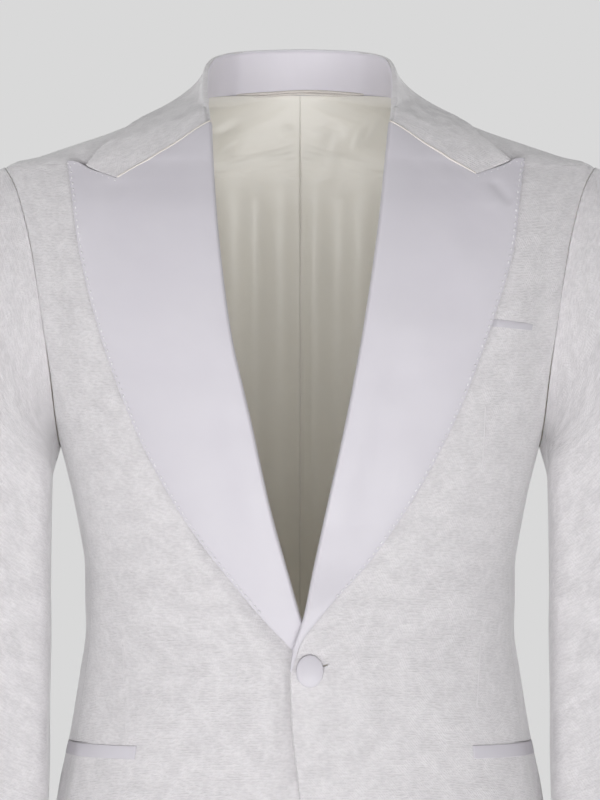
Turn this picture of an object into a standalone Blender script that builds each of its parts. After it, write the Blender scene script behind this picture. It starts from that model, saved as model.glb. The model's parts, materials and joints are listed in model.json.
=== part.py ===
"""A white one-button tuxedo jacket with wide satin peak lapels, as cut and sewn pieces.

Run with: blender --background --python part.py
Tables are in millimetres and degrees, the scene is in metres. +Z points up, the front
faces -Y and +X is the wearer's left. The origin lies midway between the two points where
the shoulder seams reach the neck.

The body is one closed surface. A point on it has a turn round the body, 0 at the centre
front, 90 at the wearer's left side and 180 at the centre back, and a height. Each cloth
piece is a wall on a patch of that surface.
"""

import bmesh
import bpy
import numpy as np

MM = 0.001  # metres in a millimetre

# ---- driving dimensions ------------------------------------------------------------
SHELL = 2.0  # wall of the body and sleeve cloth
LAPEL = 2.2  # wall of the lapels
COLLAR = 2.2  # wall of the collar leaf
STAND = 2.0  # wall of the collar stand
LINING = 1.0  # wall of the back lining
LINING_DEPTH = 2.8  # from the shell's face to the lining's outer face
SEAM_GAP = 0.3  # between two pieces that meet at a seam
FOLD_GAP = 0.5  # from a lapel's fold to the edge of the front under it
LAPEL_LIFT = 1.7  # from the shell's face to the lapel's inner face
LEAF_LIFT = 1.4  # from the shell's face to the collar leaf's inner face
FOLD_INSET = 3.6  # from a roll line to the edge of the front panel under it
HEM = -740.0  # height of the hem
CUFF = -680.0  # height of the sleeve ends
NECK_RISE = 10.0  # how far the neck seam rises at the centre back

# The body, from the hem up. A power of 2 is an ellipse, and a higher one is squarer.
BODY_COLUMNS = (
    "height",
    "half_width",
    "side_y",
    "front_depth",
    "back_depth",
    "front_power",
    "back_power",
)
BODY_ROWS = (
    (-740, 202.0, 2, 131, 106, 2.3, 2.3),
    (-620, 198.0, 3, 134, 110, 2.3, 2.3),
    (-546, 190.0, 3, 132, 101, 2.3, 2.3),
    (-495, 179.5, 3, 129, 89, 2.3, 2.3),
    (-450, 172.0, 3, 125, 80, 2.3, 2.3),
    (-412, 167.5, 3, 124, 77, 2.3, 2.3),
    (-370, 167.0, 3, 125, 81, 2.3, 2.3),
    (-340, 171.0, 3, 127, 87, 2.3, 2.3),
    (-309, 178.0, 3, 129, 94, 2.35, 2.3),
    (-262, 189.5, 3, 131, 104, 2.4, 2.35),
    (-230, 197.0, 2, 131, 110, 2.4, 2.4),
    (-190, 206.0, 2, 130, 113, 2.4, 2.4),
    (-150, 214.0, 1, 124, 114, 2.4, 2.4),
    (-120, 219.5, 1, 118, 112, 2.35, 2.35),
    (-90, 225.0, 0, 108, 108, 2.25, 2.25),
    (-72, 228.0, 0, 99, 105, 2.15, 2.15),
    (-55, 230.5, 0, 90, 101, 2.0, 2.0),
    (-46, 206.0, 0, 86.5, 99, 2.0, 2.0),
    (-37, 179.3, 0, 82.5, 97, 2.0, 2.0),
    (-28, 151.7, 0, 77, 94, 2.0, 2.0),
    (-19, 124.0, 0, 69, 91, 2.0, 2.0),
    (-10.5, 100.0, 0, 59, 88, 2.0, 2.0),
    (-2, 76.0, 0, 46, 85, 2.0, 2.0),
)
NECK_ZONE, NECK_TOP = -40.0, -2.0  # the back rises towards the neck seam between these

# The armhole is an oval seen from the side: angle 0 at the shoulder, 180 under the arm.
ARMHOLE_HEIGHT = -164.0
ARMHOLE_HALF_HEIGHT = 109.0
ARMHOLE_FRONT = 54.0
ARMHOLE_BACK = 64.0
ARMHOLE_ANGLES = (0, 20, 38, 56, 74, 92, 110, 124, 137)
UNDERARM_ANGLES = (137, 152, 166, 180)
SIDE_SEAM_ANGLE = 137

# Heights of the rings of points that the body pieces share.
LOWER_RINGS = (-740, -731, -714, -688, -650, -605, -560, -520, -480, -440, -400, -365, -330, -295, -268)
SHOULDER_RINGS = (-46, -37, -28, -19, -11, -3)
HEM_CURVE_RINGS = (-731, -714, -688)  # only for the rounded corner of the fronts
NECK_EDGE = (70.8, 73.2, 74.6, 75.0)  # the fronts' neck edge at the last four rings
# The side seams' distance in front of and behind the side line.
SEAM_HEIGHTS = (-740, -495, -412, -243.7)
FRONT_SEAM_OFFSETS = (48, 44, 40, 36.8)
BACK_SEAM_OFFSETS = (52, 40, 36, 43.6)
FRONT_SEGMENTS = 12
BACK_SEGMENTS = 7
LINING_MARGIN = 5.0  # from the panel's outer edge to the lining's

# Lapels from the tail up: roll line and outer edge, as distance outwards and height.
LAPEL_COLUMNS = ("roll_x", "roll_height", "edge_x", "edge_height")
LEFT_LAPEL_ROWS = (
    (-7.4, -438, -2.2, -436),
    (-5.5, -425, -0.4, -423),
    (3.0, -401, 21.0, -393),
    (10.5, -364.5, 52, -358.5),
    (21.5, -314, 88, -306),
    (35.1, -252, 119, -246),
    (47.8, -179, 146, -175),
    (58.5, -106, 162.5, -118),
    (64.5, -52, 167.5, -80),
    (67.2, -27, 170.5, -54),
)
RIGHT_LAPEL_ROWS = (
    (-9.0, -432, -3.0, -435),
    (-5.0, -415, 7.8, -423),
    (0.0, -401, 24.2, -406),
    (10.5, -364.5, 55, -369.5),
    (22.8, -320, 88, -325),
    (38.0, -252, 121.5, -264),
    (52.3, -181, 149, -192),
    (62.0, -102, 167, -124),
    (65.6, -55, 172.5, -89),
    (67.0, -27, 177.8, -55.5),
)
LEFT_NOTCH = (133.8, -65.7)
RIGHT_NOTCH = (138.9, -68.3)
NOTCH_SHARE = 0.67  # the notch's place along the lapel's top edge
LAPEL_SHARES = (0.05, 0.12, 0.23, 0.37, 0.52, NOTCH_SHARE, 0.84, 1.0)
LAPEL_ROWS_PER_STATION = 2
# The lapel's fold: distances from the roll line, and its faces' heights over the front.
FOLD_DISTANCES, FOLD_SHARES = (0.0, 0.9, 2.6), (0.0, 0.45, 1.0)
FOLD_OUTER, FOLD_INNER = (1.4, 3.7, 5.0), (-0.6, -1.8, -2.0)
FOLD_LEAST, FOLD_SHALLOW, FOLD_DEEPENING = 0.3, 0.6, 2.0  # where there is little room for it
FOLD_STEP, FOLD_WALL = 0.3, 0.8
STEP_LENGTH, STEP_BELLY = 0.02, 0.6  # where the fold's inner face steps up onto the front
BELLY = 2.2  # extra rise of the lapel near its fold
BELLY_PLACE, BELLY_SPREAD = 9.0, 16.0
BELLY_START, BELLY_STATIONS = 1.5, 3.0  # stations over which the belly grows
DIP_STATIONS = 3.0  # stations over which the rows bend down to the notch

# The hidden edge of the right front, outwards from the centre, and the left front's edge.
EDGE_HEIGHTS = (-740, -731, -714, -688, -650, -605, -560, -520, -480, -440)
LEFT_EDGE = (128, 99, 70, 45, 24, 11, 3, -2.2, -6.4, -7.7)
RIGHT_EDGE = (125, 92, 60, 34, 12, -3, -11, -15, -19.5, -19)
# How far the left front stands off so that it lies on the right one.
OVERLAP_HEIGHTS = (-740, -650, -590, -480, -440, -400, -365, -330)
OVERLAP_LIFT = (0, 0.5, 2.9, 2.9, 6.4, 6.4, 2.4, 0)
OVERLAP_FULL, OVERLAP_END = 21.0, 80.0

# Sleeves: the inner side's distance from the centre, and the tube round its middle.
SLEEVE_COLUMNS = ("height", "inner_x", "width", "middle_y", "depth", "power")
SLEEVE_ROWS = (
    (-680, 207.0, 78, -38, 98, 2.2),
    (-600, 200.0, 84, -20, 106, 2.3),
    (-530, 195.5, 90, -5, 114, 2.4),
    (-430, 194.0, 97, 5, 123, 2.4),
    (-330, 193.5, 102, 6, 131, 2.5),
    (-250, 192.0, 105, 4, 135, 2.6),
    (-190, 192.0, 105, 3, 135, 2.5),
)
CAP_END = -250.0  # mean height where the sleeve cap becomes the tube
CAP_TILT = 50.0
CAP_STEPS = 6
CAP_PULL = 0.95
ARM_STEPS = 6
FOREARM_SEAM = 152
HINDARM_SEAM = 250
SLEEVE_SETBACK = 0.45  # from the armhole's edge to the sleeve's first ring
UNDERARM_SETBACK = 1.1

# Collar from the centre back to the gorge: its crease, the crease's lean towards the
# neck, and where the leaf's edge lies on the body.
COLLAR_COLUMNS = (
    "crease_x",
    "crease_y",
    "crease_z",
    "lean",
    "leaf_turn",
    "leaf_height",
    "foot_turn",
    "foot_height",
)
COLLAR_ROWS = (
    (0.0, 82, 44.8, 0, 180, -11, 180, -3),
    (25.0, 80, 44.0, 3, 161, -11, 161.5, -3),
    (47.0, 70, 41.8, 8, 140, -11.5, 142, -3),
    (60.0, 54, 38.0, 18, 120, -12.5, 124, -3),
    (67.5, 34, 32.5, 30, 102, -14, 109, -3),
    (71.3, 8, 21.0, 40, 84, -16.5, 94, -3),
    (71.5, -16, 8.5, 48, 68, -22.5, 74, -3),
    (70.4, -42, -6.0, 55, 53, -34.5, 60, -11),
)
# The last stretch, up to the collar's point and round it to the notch: the crease's
# distance outwards and its height on the body, and its lean.
COLLAR_FRONT_ROWS = (
    (69.2, -17.7, 58),
    (68.4, -22.6, 60),
    (67.8, -25.3, 60),
    (67.2, -27.0, 60),
)
LEFT_LEAF_FRONT = ((148.0, -46.0), (159.7, -54.1), (147.0, -59.6), LEFT_NOTCH)
RIGHT_LEAF_FRONT = ((151.0, -46.2), (164.6, -57.1), (152.0, -62.5), RIGHT_NOTCH)
COLLAR_STEPS = 2  # columns from one row of the collar table to the next
CREASE_RADIUS = 2.1  # of the fold's middle line
STAND_ARC = (86, 117, 148, 180)
LEAF_ARC = (54, 27, 0)
NOSE_ARC = (140, 70, 0)  # where the leaf alone makes the fold
LEAF_SHARES = (0.22, 0.44, 0.64, 0.83, 1.0)
STAND_SHARES = (0.5, 1.0)
STAND_GAP = 0.7  # from the panels' edges to the stand's foot
STAND_END_ROWS = 8  # the stand ends at this row of the collar
GORGE_GAP = 0.6

# Pockets and button.
HIP_TOP, HIP_BOTTOM = (-500.0, -502.0), (-510.3, -512.4)  # inner and outer end
HIP_INNER = {"left": 131.2, "right": 124.2}
HIP_END_OFFSET = 12.0  # of the outer end in front of the side line
BREAST_TOP, BREAST_BOTTOM = (-171.0, -178.9), (-177.5, -183.3)
BREAST_INNER, BREAST_OUTER = 112.0, 178.0
WELT = 0.8  # wall of the pocket welts
WELT_SEGMENTS = 8
HIP_WELT_LIFT, BREAST_WELT_LIFT = 0.7, 0.35
BUTTON_X, BUTTON_HEIGHT = 7.4, -440.5
BUTTON_HALF_WIDTH, BUTTON_HALF_HEIGHT = 10.3, 12.3
# The button from its back to its dome: share of its half width, and distance out.
BUTTON_PROFILE = ((0.86, 0.0), (1.0, 1.0), (1.0, 1.6), (0.9, 2.8), (0.62, 3.6), (0.25, 4.4))
BUTTON_SIDES = 24
BUTTON_CLEARANCE = 0.7
SHANK_RADIUS, SHANK_SIDES, SHANK_GAP = 1.2, 10, 0.3
HOLE_LENGTH, HOLE_WIDTH, HOLE_DEPTH = 19.0, 3.2, 16.0
HOLE_CENTRE_X, HOLE_HEIGHT = 11.5, -436.6

COLOURS = {
    "cloth": (0.80, 0.79, 0.78, 1.0),
    "satin": (0.78, 0.76, 0.80, 1.0),
    "lining": (0.72, 0.71, 0.64, 1.0),
}
ROUGHNESS = {"cloth": 0.85, "satin": 0.45, "lining": 0.55}


# ---- curves and the body's surface ---------------------------------------------------
def smooth(places, values, at):
    """A curve through the values, with no overshoot, read at the given places."""
    places, values = np.asarray(places, float), np.asarray(values, float)
    step = np.diff(places)
    slope = np.diff(values) / step
    tangent = np.zeros(len(places))
    tangent[0], tangent[-1] = slope[0], slope[-1]
    before, after = slope[:-1], slope[1:]
    same = before * after > 0
    tangent[1:-1] = np.where(same, 2 * before * after / np.where(same, before + after, 1), 0)
    at = np.clip(np.asarray(at, float), places[0], places[-1])
    i = np.clip(np.searchsorted(places, at, side="right") - 1, 0, len(places) - 2)
    h = step[i]
    u = (at - places[i]) / h
    rise = (1 + 2 * u) * (1 - u) ** 2 * values[i] + u * u * (3 - 2 * u) * values[i + 1]
    return rise + h * u * (1 - u) * ((1 - u) * tangent[i] - u * tangent[i + 1])


def table(columns, rows):
    return dict(zip(columns, np.array(rows, float).T))


BODY = table(BODY_COLUMNS, BODY_ROWS)
SLEEVE = table(SLEEVE_COLUMNS, SLEEVE_ROWS)
COLLAR_TABLE = table(COLLAR_COLUMNS, COLLAR_ROWS)


def body(name, height):
    return smooth(BODY["height"], BODY[name], height)


def body_point(turn, height):
    turn, height = np.broadcast_arrays(np.radians(turn), np.asarray(height, float))
    back = np.cos(turn) < 0
    depth = np.where(back, body("back_depth", height), body("front_depth", height))
    power = np.where(back, body("back_power", height), body("front_power", height))
    across, along = np.abs(np.sin(turn)), np.abs(np.cos(turn))
    reach = (across**power + along**power) ** (-1 / power)
    rise = np.clip((height - NECK_ZONE) / (NECK_TOP - NECK_ZONE), 0, 1) ** 2
    return np.stack(
        [
            body("half_width", height) * reach * np.sin(turn),
            body("side_y", height) - depth * reach * np.cos(turn),
            height + NECK_RISE * rise * np.maximum(-np.cos(turn) * reach, 0) ** 2,
        ],
        axis=-1,
    )


def body_normal(turn, height):
    around = body_point(np.add(turn, 0.05), height) - body_point(np.subtract(turn, 0.05), height)
    up = body_point(turn, np.add(height, 0.5)) - body_point(turn, np.subtract(height, 0.5))
    return unit(np.cross(around, up))


def unit(vectors):
    return vectors / np.linalg.norm(vectors, axis=-1, keepdims=True)


def front_turn(x, height):
    """Turn of the front point that is x to the wearer's left of the centre."""
    power = body("front_power", height)
    across = np.clip(np.abs(x) / body("half_width", height), 0, 1)
    return np.degrees(np.arctan2(across, (1 - across**power) ** (1 / power))) * np.sign(x)


def side_turn(offset, height, back=False):
    """Turn of the point that lies offset in front of, or behind, the side line."""
    name = "back" if back else "front"
    power = body(name + "_power", height)
    along = np.clip(np.asarray(offset) / body(name + "_depth", height), 0, 1)
    turn = np.degrees(np.arctan2((1 - along**power) ** (1 / power), along))
    return 180 - turn if back else turn


def on_body(x, height, lift=0.0):
    """The front point at x and height, moved out along the body's normal."""
    turn = front_turn(x, height)
    return body_point(turn, height) + np.asarray(lift)[..., None] * body_normal(turn, height)


def stand_off(points, least):
    """Moves points out until they are at least that far from the body's face.

    The nearest point of the face is found by steps along it, from a first guess.
    """
    flat = points.reshape(-1, 3)
    height = np.clip(flat[:, 2], HEM, BODY_ROWS[-1][0])
    across = flat[:, 0] / body("half_width", height)
    along = (body("side_y", height) - flat[:, 1]) / body("front_depth", height)
    turn = np.degrees(np.arctan2(across, along))
    for _ in range(12):
        base = body_point(turn, height)
        around = (body_point(turn + 0.05, height) - base) / 0.05
        up = (body_point(turn, height + 0.1) - body_point(turn, height - 0.1)) / 0.2
        away = flat - base
        turn = turn + np.clip((away * around).sum(-1) / (around**2).sum(-1), -8, 8)
        rise = (away * up).sum(-1) / np.maximum((up**2).sum(-1), 1e-6)
        height = np.clip(height + np.clip(rise, -8, 8), HEM, BODY_ROWS[-1][0])
    normal = body_normal(turn, height)
    depth = ((flat - body_point(turn, height)) * normal).sum(-1)
    inside = (height < SHOULDER_RINGS[-1]) & (depth < least)
    moved = flat + np.where(inside, least - depth, 0.0)[:, None] * normal
    return moved.reshape(points.shape)


# ---- walls and objects ----------------------------------------------------------------
def material(slot):
    found = bpy.data.materials.new(slot)
    found.use_nodes = True
    shader = found.node_tree.nodes["Principled BSDF"]
    shader.inputs["Base Color"].default_value = COLOURS[slot]
    shader.inputs["Roughness"].default_value = ROUGHNESS[slot]
    shader.inputs["Metallic"].default_value = 0.0
    return found


def add_object(name, points, faces, slot):
    """One closed piece, in metres, with its faces turned outwards."""
    mesh = bpy.data.meshes.new(name)
    mesh.from_pydata((np.asarray(points) * MM).tolist(), [], faces)
    shape = bmesh.new()
    shape.from_mesh(mesh)
    bmesh.ops.remove_doubles(shape, verts=shape.verts, dist=1e-6)
    bmesh.ops.recalc_face_normals(shape, faces=shape.faces)
    if shape.calc_volume(signed=True) < 0:
        bmesh.ops.reverse_faces(shape, faces=shape.faces)
    bmesh.ops.triangulate(shape, faces=shape.faces)
    shape.to_mesh(mesh)
    shape.free()
    mesh.shade_smooth()
    mesh.set_sharp_from_angle(angle=np.radians(40))
    mesh.materials.append(MATERIALS[slot])
    found = bpy.data.objects.new(name, mesh)
    bpy.context.scene.collection.objects.link(found)
    return found


def add_wall(name, outer, inner, slot):
    """A wall between two grids of points, closed round its four edges."""
    rows, cols = outer.shape[:2]
    points = np.concatenate([outer.reshape(-1, 3), inner.reshape(-1, 3)])
    index = np.arange(rows * cols).reshape(rows, cols)
    under = index + rows * cols
    faces = []
    for r in range(rows - 1):
        for c in range(cols - 1):
            corner = (index[r, c], index[r, c + 1], index[r + 1, c + 1], index[r + 1, c])
            faces.append([int(i) for i in corner])
            faces.append([int(i) + rows * cols for i in reversed(corner)])
    rim = list(index[0]) + list(index[1:, -1]) + list(index[-1, -2::-1]) + list(index[-2:0:-1, 0])
    low = list(under[0]) + list(under[1:, -1]) + list(under[-1, -2::-1]) + list(under[-2:0:-1, 0])
    for i in range(len(rim)):
        j = (i + 1) % len(rim)
        faces.append([int(rim[j]), int(rim[i]), int(low[i]), int(low[j])])
    return add_object(name, points, faces, slot)


def grid_normals(grid):
    """Normals of a grid of points, from its neighbours along rows and columns."""
    return unit(np.cross(np.gradient(grid, axis=1), np.gradient(grid, axis=0)))


def add_sheet(name, middle, thickness, slot):
    normals = grid_normals(middle)
    add_wall(name, middle + normals * thickness / 2, middle - normals * thickness / 2, slot)


def mirrored(points):
    return points * np.array([-1.0, 1.0, 1.0])


def for_side(side, points):
    return points if side == "left" else mirrored(points)


# ---- body pieces ------------------------------------------------------------------------
def armhole_height(angle):
    return ARMHOLE_HEIGHT + ARMHOLE_HALF_HEIGHT * np.cos(np.radians(angle))


def armhole_turn(angle):
    """Turn of the armhole at an angle: up to 180 in front, and past it behind."""
    back = angle > 180
    reach = ARMHOLE_BACK if back else ARMHOLE_FRONT
    return side_turn(reach * abs(np.sin(np.radians(angle))), armhole_height(angle), back)


def rings(front=False):
    """Heights of the shared rings, with the angle of those that cross the armhole."""
    armhole = [(float(armhole_height(angle)), angle) for angle in reversed(ARMHOLE_ANGLES)]
    lower = [(height, None) for height in LOWER_RINGS if front or height not in HEM_CURVE_RINGS]
    return lower + armhole + [(height, None) for height in SHOULDER_RINGS]


def outer_turn(height, angle, back=False):
    """Turn of a front or back panel's outer edge: side seam, armhole, then shoulder."""
    if angle is not None:
        return float(armhole_turn(360 - angle if back and angle else angle))
    if height > ARMHOLE_HEIGHT:
        return 90.0
    offsets = BACK_SEAM_OFFSETS if back else FRONT_SEAM_OFFSETS
    return float(side_turn(smooth(SEAM_HEIGHTS, offsets, height), height, back))


def lapel_curve(side, name, at):
    rows = LEFT_LAPEL_ROWS if side == "left" else RIGHT_LAPEL_ROWS
    values = table(LAPEL_COLUMNS, rows)[name]
    return smooth(np.arange(len(values)), values, at)


def roll_x(side, height):
    rows = table(LAPEL_COLUMNS, LEFT_LAPEL_ROWS if side == "left" else RIGHT_LAPEL_ROWS)
    return smooth(rows["roll_height"], rows["roll_x"], height)


def inner_x(side, height):
    """Distance outwards of a front's inner edge: front edge, fold, then neck seam."""
    if height <= EDGE_HEIGHTS[-1]:
        edge = LEFT_EDGE if side == "left" else RIGHT_EDGE
        return float(smooth(EDGE_HEIGHTS, edge, height))
    if height < SHOULDER_RINGS[2]:
        return float(roll_x(side, height)) + FOLD_INSET
    return float(smooth(SHOULDER_RINGS[2:], NECK_EDGE, height))


def edge_line(side, height):
    """The front panel's inner edge between its rings, which is straight there."""
    heights = [ring for ring, _ in rings(front=True)]
    return np.interp(height, heights, [inner_x(side, ring) for ring in heights])


def overlap(side, points):
    """How far the left front stands off over the right one."""
    if side == "right":
        return np.zeros(points.shape[:-1])
    rise = smooth(OVERLAP_HEIGHTS, OVERLAP_LIFT, points[..., 2])
    share = np.clip((points[..., 0] - OVERLAP_FULL) / (OVERLAP_END - OVERLAP_FULL), 0, 1)
    return rise * (1 - share * share * (3 - 2 * share))


def seam_turn(turn, height, distance):
    """The turn that lies a distance along the cloth from another one."""
    step = body_point(turn + 0.05, height) - body_point(turn - 0.05, height)
    return turn + distance * 0.1 / np.linalg.norm(step, axis=-1)


def panel(name, turns, heights, side, depths=(0.0, SHELL), front=False, trim=0.0, slot="cloth"):
    """A wall between two depths below the body's face, its first column moved in by trim."""
    points = body_point(turns, heights)
    normals = body_normal(turns, heights)
    lift = overlap(side, points)[..., None] if front else 0.0
    walls = []
    for depth in depths:
        wall = points + normals * (lift - depth)
        wall[:, 0] += unit(wall[:, 1] - wall[:, 0]) * trim
        walls.append(for_side(side, wall))
    return add_wall(name, walls[0], walls[1], slot)


def add_front(side):
    turns, heights = [], []
    for height, angle in rings(front=True):
        start = front_turn(inner_x(side, height), height)
        end = seam_turn(outer_turn(height, angle), height, -SEAM_GAP / 2)
        turns.append(np.linspace(start, end, FRONT_SEGMENTS + 1))
        heights.append(np.full(FRONT_SEGMENTS + 1, height))
    return panel("front_" + side, np.array(turns), np.array(heights), side, front=True)


def back_grid():
    turns, heights = [], []
    for height, angle in rings():
        start = seam_turn(outer_turn(height, angle, back=True), height, SEAM_GAP / 2)
        end = seam_turn(180.0, height, -SEAM_GAP / 2)
        turns.append(np.linspace(start, end, BACK_SEGMENTS + 1))
        heights.append(np.full(BACK_SEGMENTS + 1, height))
    return np.array(turns), np.array(heights)


def add_back(side):
    turns, heights = back_grid()
    panel("back_" + side, turns, heights, side)


def add_side(side):
    """The side body, from the hem to the bottom of the armhole."""
    angles = list(UNDERARM_ANGLES) + [360 - angle for angle in reversed(UNDERARM_ANGLES[:-1])]
    top = armhole_height(SIDE_SEAM_ANGLE)
    shares = np.array([armhole_turn(angle) for angle in angles])
    shares = (shares - shares[0]) / (shares[-1] - shares[0])
    tops = np.array([armhole_height(angle) for angle in angles])
    turns, heights = [], []
    lower = [height for height in LOWER_RINGS if height not in HEM_CURVE_RINGS]
    for height in lower + [float(top)]:
        ring = HEM + (height - HEM) * (tops - HEM) / (top - HEM)
        angle = SIDE_SEAM_ANGLE if height == top else None
        start = seam_turn(outer_turn(height, angle), height, SEAM_GAP / 2)
        end = seam_turn(outer_turn(height, angle, back=True), height, -SEAM_GAP / 2)
        turns.append(start + (end - start) * shares)
        heights.append(ring)
    panel("side_" + side, np.array(turns), np.array(heights), side)


def add_lining(side):
    """The back lining, inside the back panel from the neck to well above the hem."""
    turns, heights = back_grid()
    depths = (LINING_DEPTH, LINING_DEPTH + LINING)
    panel("lining_" + side, turns[1:], heights[1:], side, depths, trim=LINING_MARGIN, slot="lining")


# ---- sleeves ------------------------------------------------------------------------------
def sleeve(name, height):
    return smooth(SLEEVE["height"], SLEEVE[name], height)


def tube_point(angle, height):
    """Point on the sleeve's tube: angle 0 outside, 90 in front, 180 towards the body."""
    angle = np.radians(angle)
    power = sleeve("power", height)
    reach = (np.abs(np.cos(angle)) ** power + np.abs(np.sin(angle)) ** power) ** (-1 / power)
    half = sleeve("width", height) / 2
    x = sleeve("inner_x", height) + half + half * reach * np.cos(angle)
    y = sleeve("middle_y", height) - sleeve("depth", height) / 2 * reach * np.sin(angle)
    return np.array([x, y, height])


def sleeve_start(angle):
    """First point of the sleeve at an armhole angle, and the way the cloth leaves it."""
    up, down = max(np.cos(np.radians(angle)), 0), max(-np.cos(np.radians(angle)), 0)
    forward = np.sin(np.radians(angle))
    leave = up * np.array([1.0, 0, -0.35]) + down * np.array([0.12, 0, -1.0])
    leave = leave + abs(forward) * np.array([0.8, 0, -0.5]) + forward * np.array([0, -0.28, 0])
    leave = unit(leave)
    turn, height = armhole_turn(angle), armhole_height(angle)
    shift = UNDERARM_SETBACK * down * body_normal(turn, height)
    return body_point(turn, height) + leave * SLEEVE_SETBACK + shift, leave


def sleeve_column(angle):
    """Points of one line of the sleeve, from the armhole to the cuff."""
    start, leave = sleeve_start(angle)
    end_height = CAP_END + CAP_TILT * np.cos(np.radians(angle))
    end = tube_point(angle, end_height)
    down = unit(tube_point(angle, end_height - 5) - end)
    pull = CAP_PULL * np.linalg.norm(end - start)
    points = []
    for u in np.linspace(0, 1, CAP_STEPS + 1)[:-1]:
        ease = (1 + 2 * u) * (1 - u) ** 2
        points.append(
            ease * start
            + u * u * (3 - 2 * u) * end
            + pull * u * (1 - u) * ((1 - u) * leave - u * down)
        )
    for height in np.linspace(end_height, CUFF, ARM_STEPS + 1):
        points.append(tube_point(angle, height))
    return points


def sleeve_grid(angles):
    return np.array([sleeve_column(angle % 360) for angle in angles]).transpose(1, 0, 2)


def add_sleeve(side, part):
    half = set(ARMHOLE_ANGLES) | set(UNDERARM_ANGLES)
    loop = half | {360 - angle for angle in half} | {FOREARM_SEAM, HINDARM_SEAM}
    first, last = (HINDARM_SEAM - 360, FOREARM_SEAM) if part == "top" else (FOREARM_SEAM, HINDARM_SEAM)
    angles = [angle for angle in loop | {angle - 360 for angle in loop} if first <= angle <= last]
    angles = np.array(sorted(angles))
    grid = sleeve_grid(angles)
    turned = sleeve_grid(angles + 2.0) - sleeve_grid(angles - 2.0)
    normals = unit(np.cross(turned, np.gradient(grid, axis=0)))
    grid[:, 0] += unit(grid[:, 1] - grid[:, 0]) * SEAM_GAP / 2
    grid[:, -1] -= unit(grid[:, -1] - grid[:, -2]) * SEAM_GAP / 2
    inner = grid - normals * SHELL
    add_wall(f"sleeve_{part}_{side}", for_side(side, grid), for_side(side, inner), "cloth")


# ---- lapels ---------------------------------------------------------------------------------
def roll_lift(distance, belly=BELLY):
    """How far the lapel's inner face stands off the front, by distance from its fold."""
    return LAPEL_LIFT + belly * np.exp(-(((distance - BELLY_PLACE) / BELLY_SPREAD) ** 2))


def lapel_top(roll, edge, notch):
    """Points along the top of a lapel: down the gorge to the notch, then up to the peak."""
    shares = np.array(LAPEL_SHARES)[:, None]
    gorge = roll + (notch - roll) * shares / NOTCH_SHARE
    peak = notch + (edge - notch) * (shares - NOTCH_SHARE) / (1 - NOTCH_SHARE)
    return np.where(shares <= NOTCH_SHARE, gorge, peak)


def lapel_fold(room, step_low):
    """Distances from the roll line, and the two faces' heights, of the lapel's fold.

    The fold reaches in under the front's edge only as far as there is room for it.
    """
    distance = np.minimum(FOLD_DISTANCES, max(room, FOLD_LEAST) * np.array(FOLD_SHARES))
    deep = np.clip((room - FOLD_SHALLOW) / FOLD_DEEPENING, 0, 1)
    low = np.array(FOLD_INNER) * deep + (1 - deep) * LAPEL_LIFT
    high = np.array(FOLD_OUTER)
    high[-1] = step_low + LAPEL - FOLD_STEP
    return distance, low, np.maximum(high, low + FOLD_WALL)


def add_lapel(side):
    """A lapel from its fold to its outer edge, on the front and under the collar's gorge."""
    rows = LEFT_LAPEL_ROWS if side == "left" else RIGHT_LAPEL_ROWS
    notch = np.array(LEFT_NOTCH if side == "left" else RIGHT_NOTCH)
    last = len(rows) - 1
    stations = np.linspace(0, last, last * LAPEL_ROWS_PER_STATION + 1)
    curve = {name: lapel_curve(side, name, stations) for name in LAPEL_COLUMNS}
    roll = np.stack([curve["roll_x"], curve["roll_height"]], -1)
    edge = np.stack([curve["edge_x"], curve["edge_height"]], -1)
    shares = np.array(LAPEL_SHARES)
    dip = lapel_top(roll[-1], edge[-1], notch) - (roll[-1] + (edge[-1] - roll[-1]) * shares[:, None])
    outer, inner = [], []
    for k, station in enumerate(stations):
        share = np.clip((station - last + DIP_STATIONS) / DIP_STATIONS, 0, 1)
        line = roll[k] + (edge[k] - roll[k]) * shares[:, None] + dip * share**2
        belly = BELLY * np.clip((station - BELLY_START) / BELLY_STATIONS, 0, 1)
        low = roll_lift(shares * np.linalg.norm(edge[k] - roll[k]), belly)
        step_low = LAPEL_LIFT + belly * STEP_BELLY
        room = float(edge_line(side, roll[k][1])) - roll[k][0] - FOLD_GAP
        fold, fold_low, fold_high = lapel_fold(room, step_low)
        fold = np.append(fold, fold[-1] + STEP_LENGTH)
        places = np.concatenate([roll[k] + fold[:, None] * unit(line[0] - roll[k]), line])
        lows = np.concatenate([fold_low, [step_low], low])
        highs = np.concatenate([fold_high, [step_low + LAPEL - FOLD_STEP / 2], low + LAPEL])
        lift = overlap(side, body_point(front_turn(places[:, 0], places[:, 1]), places[:, 1]))
        outer.append(on_body(places[:, 0], places[:, 1], highs + lift))
        inner.append(on_body(places[:, 0], places[:, 1], lows + lift))
    outer, inner = np.array(outer), np.array(inner)
    back = unit(outer[-1] - outer[-2]) * GORGE_GAP / 2
    outer[-1] -= back
    inner[-1] -= back
    add_wall("lapel_" + side, for_side(side, outer), for_side(side, inner), "satin")


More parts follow.
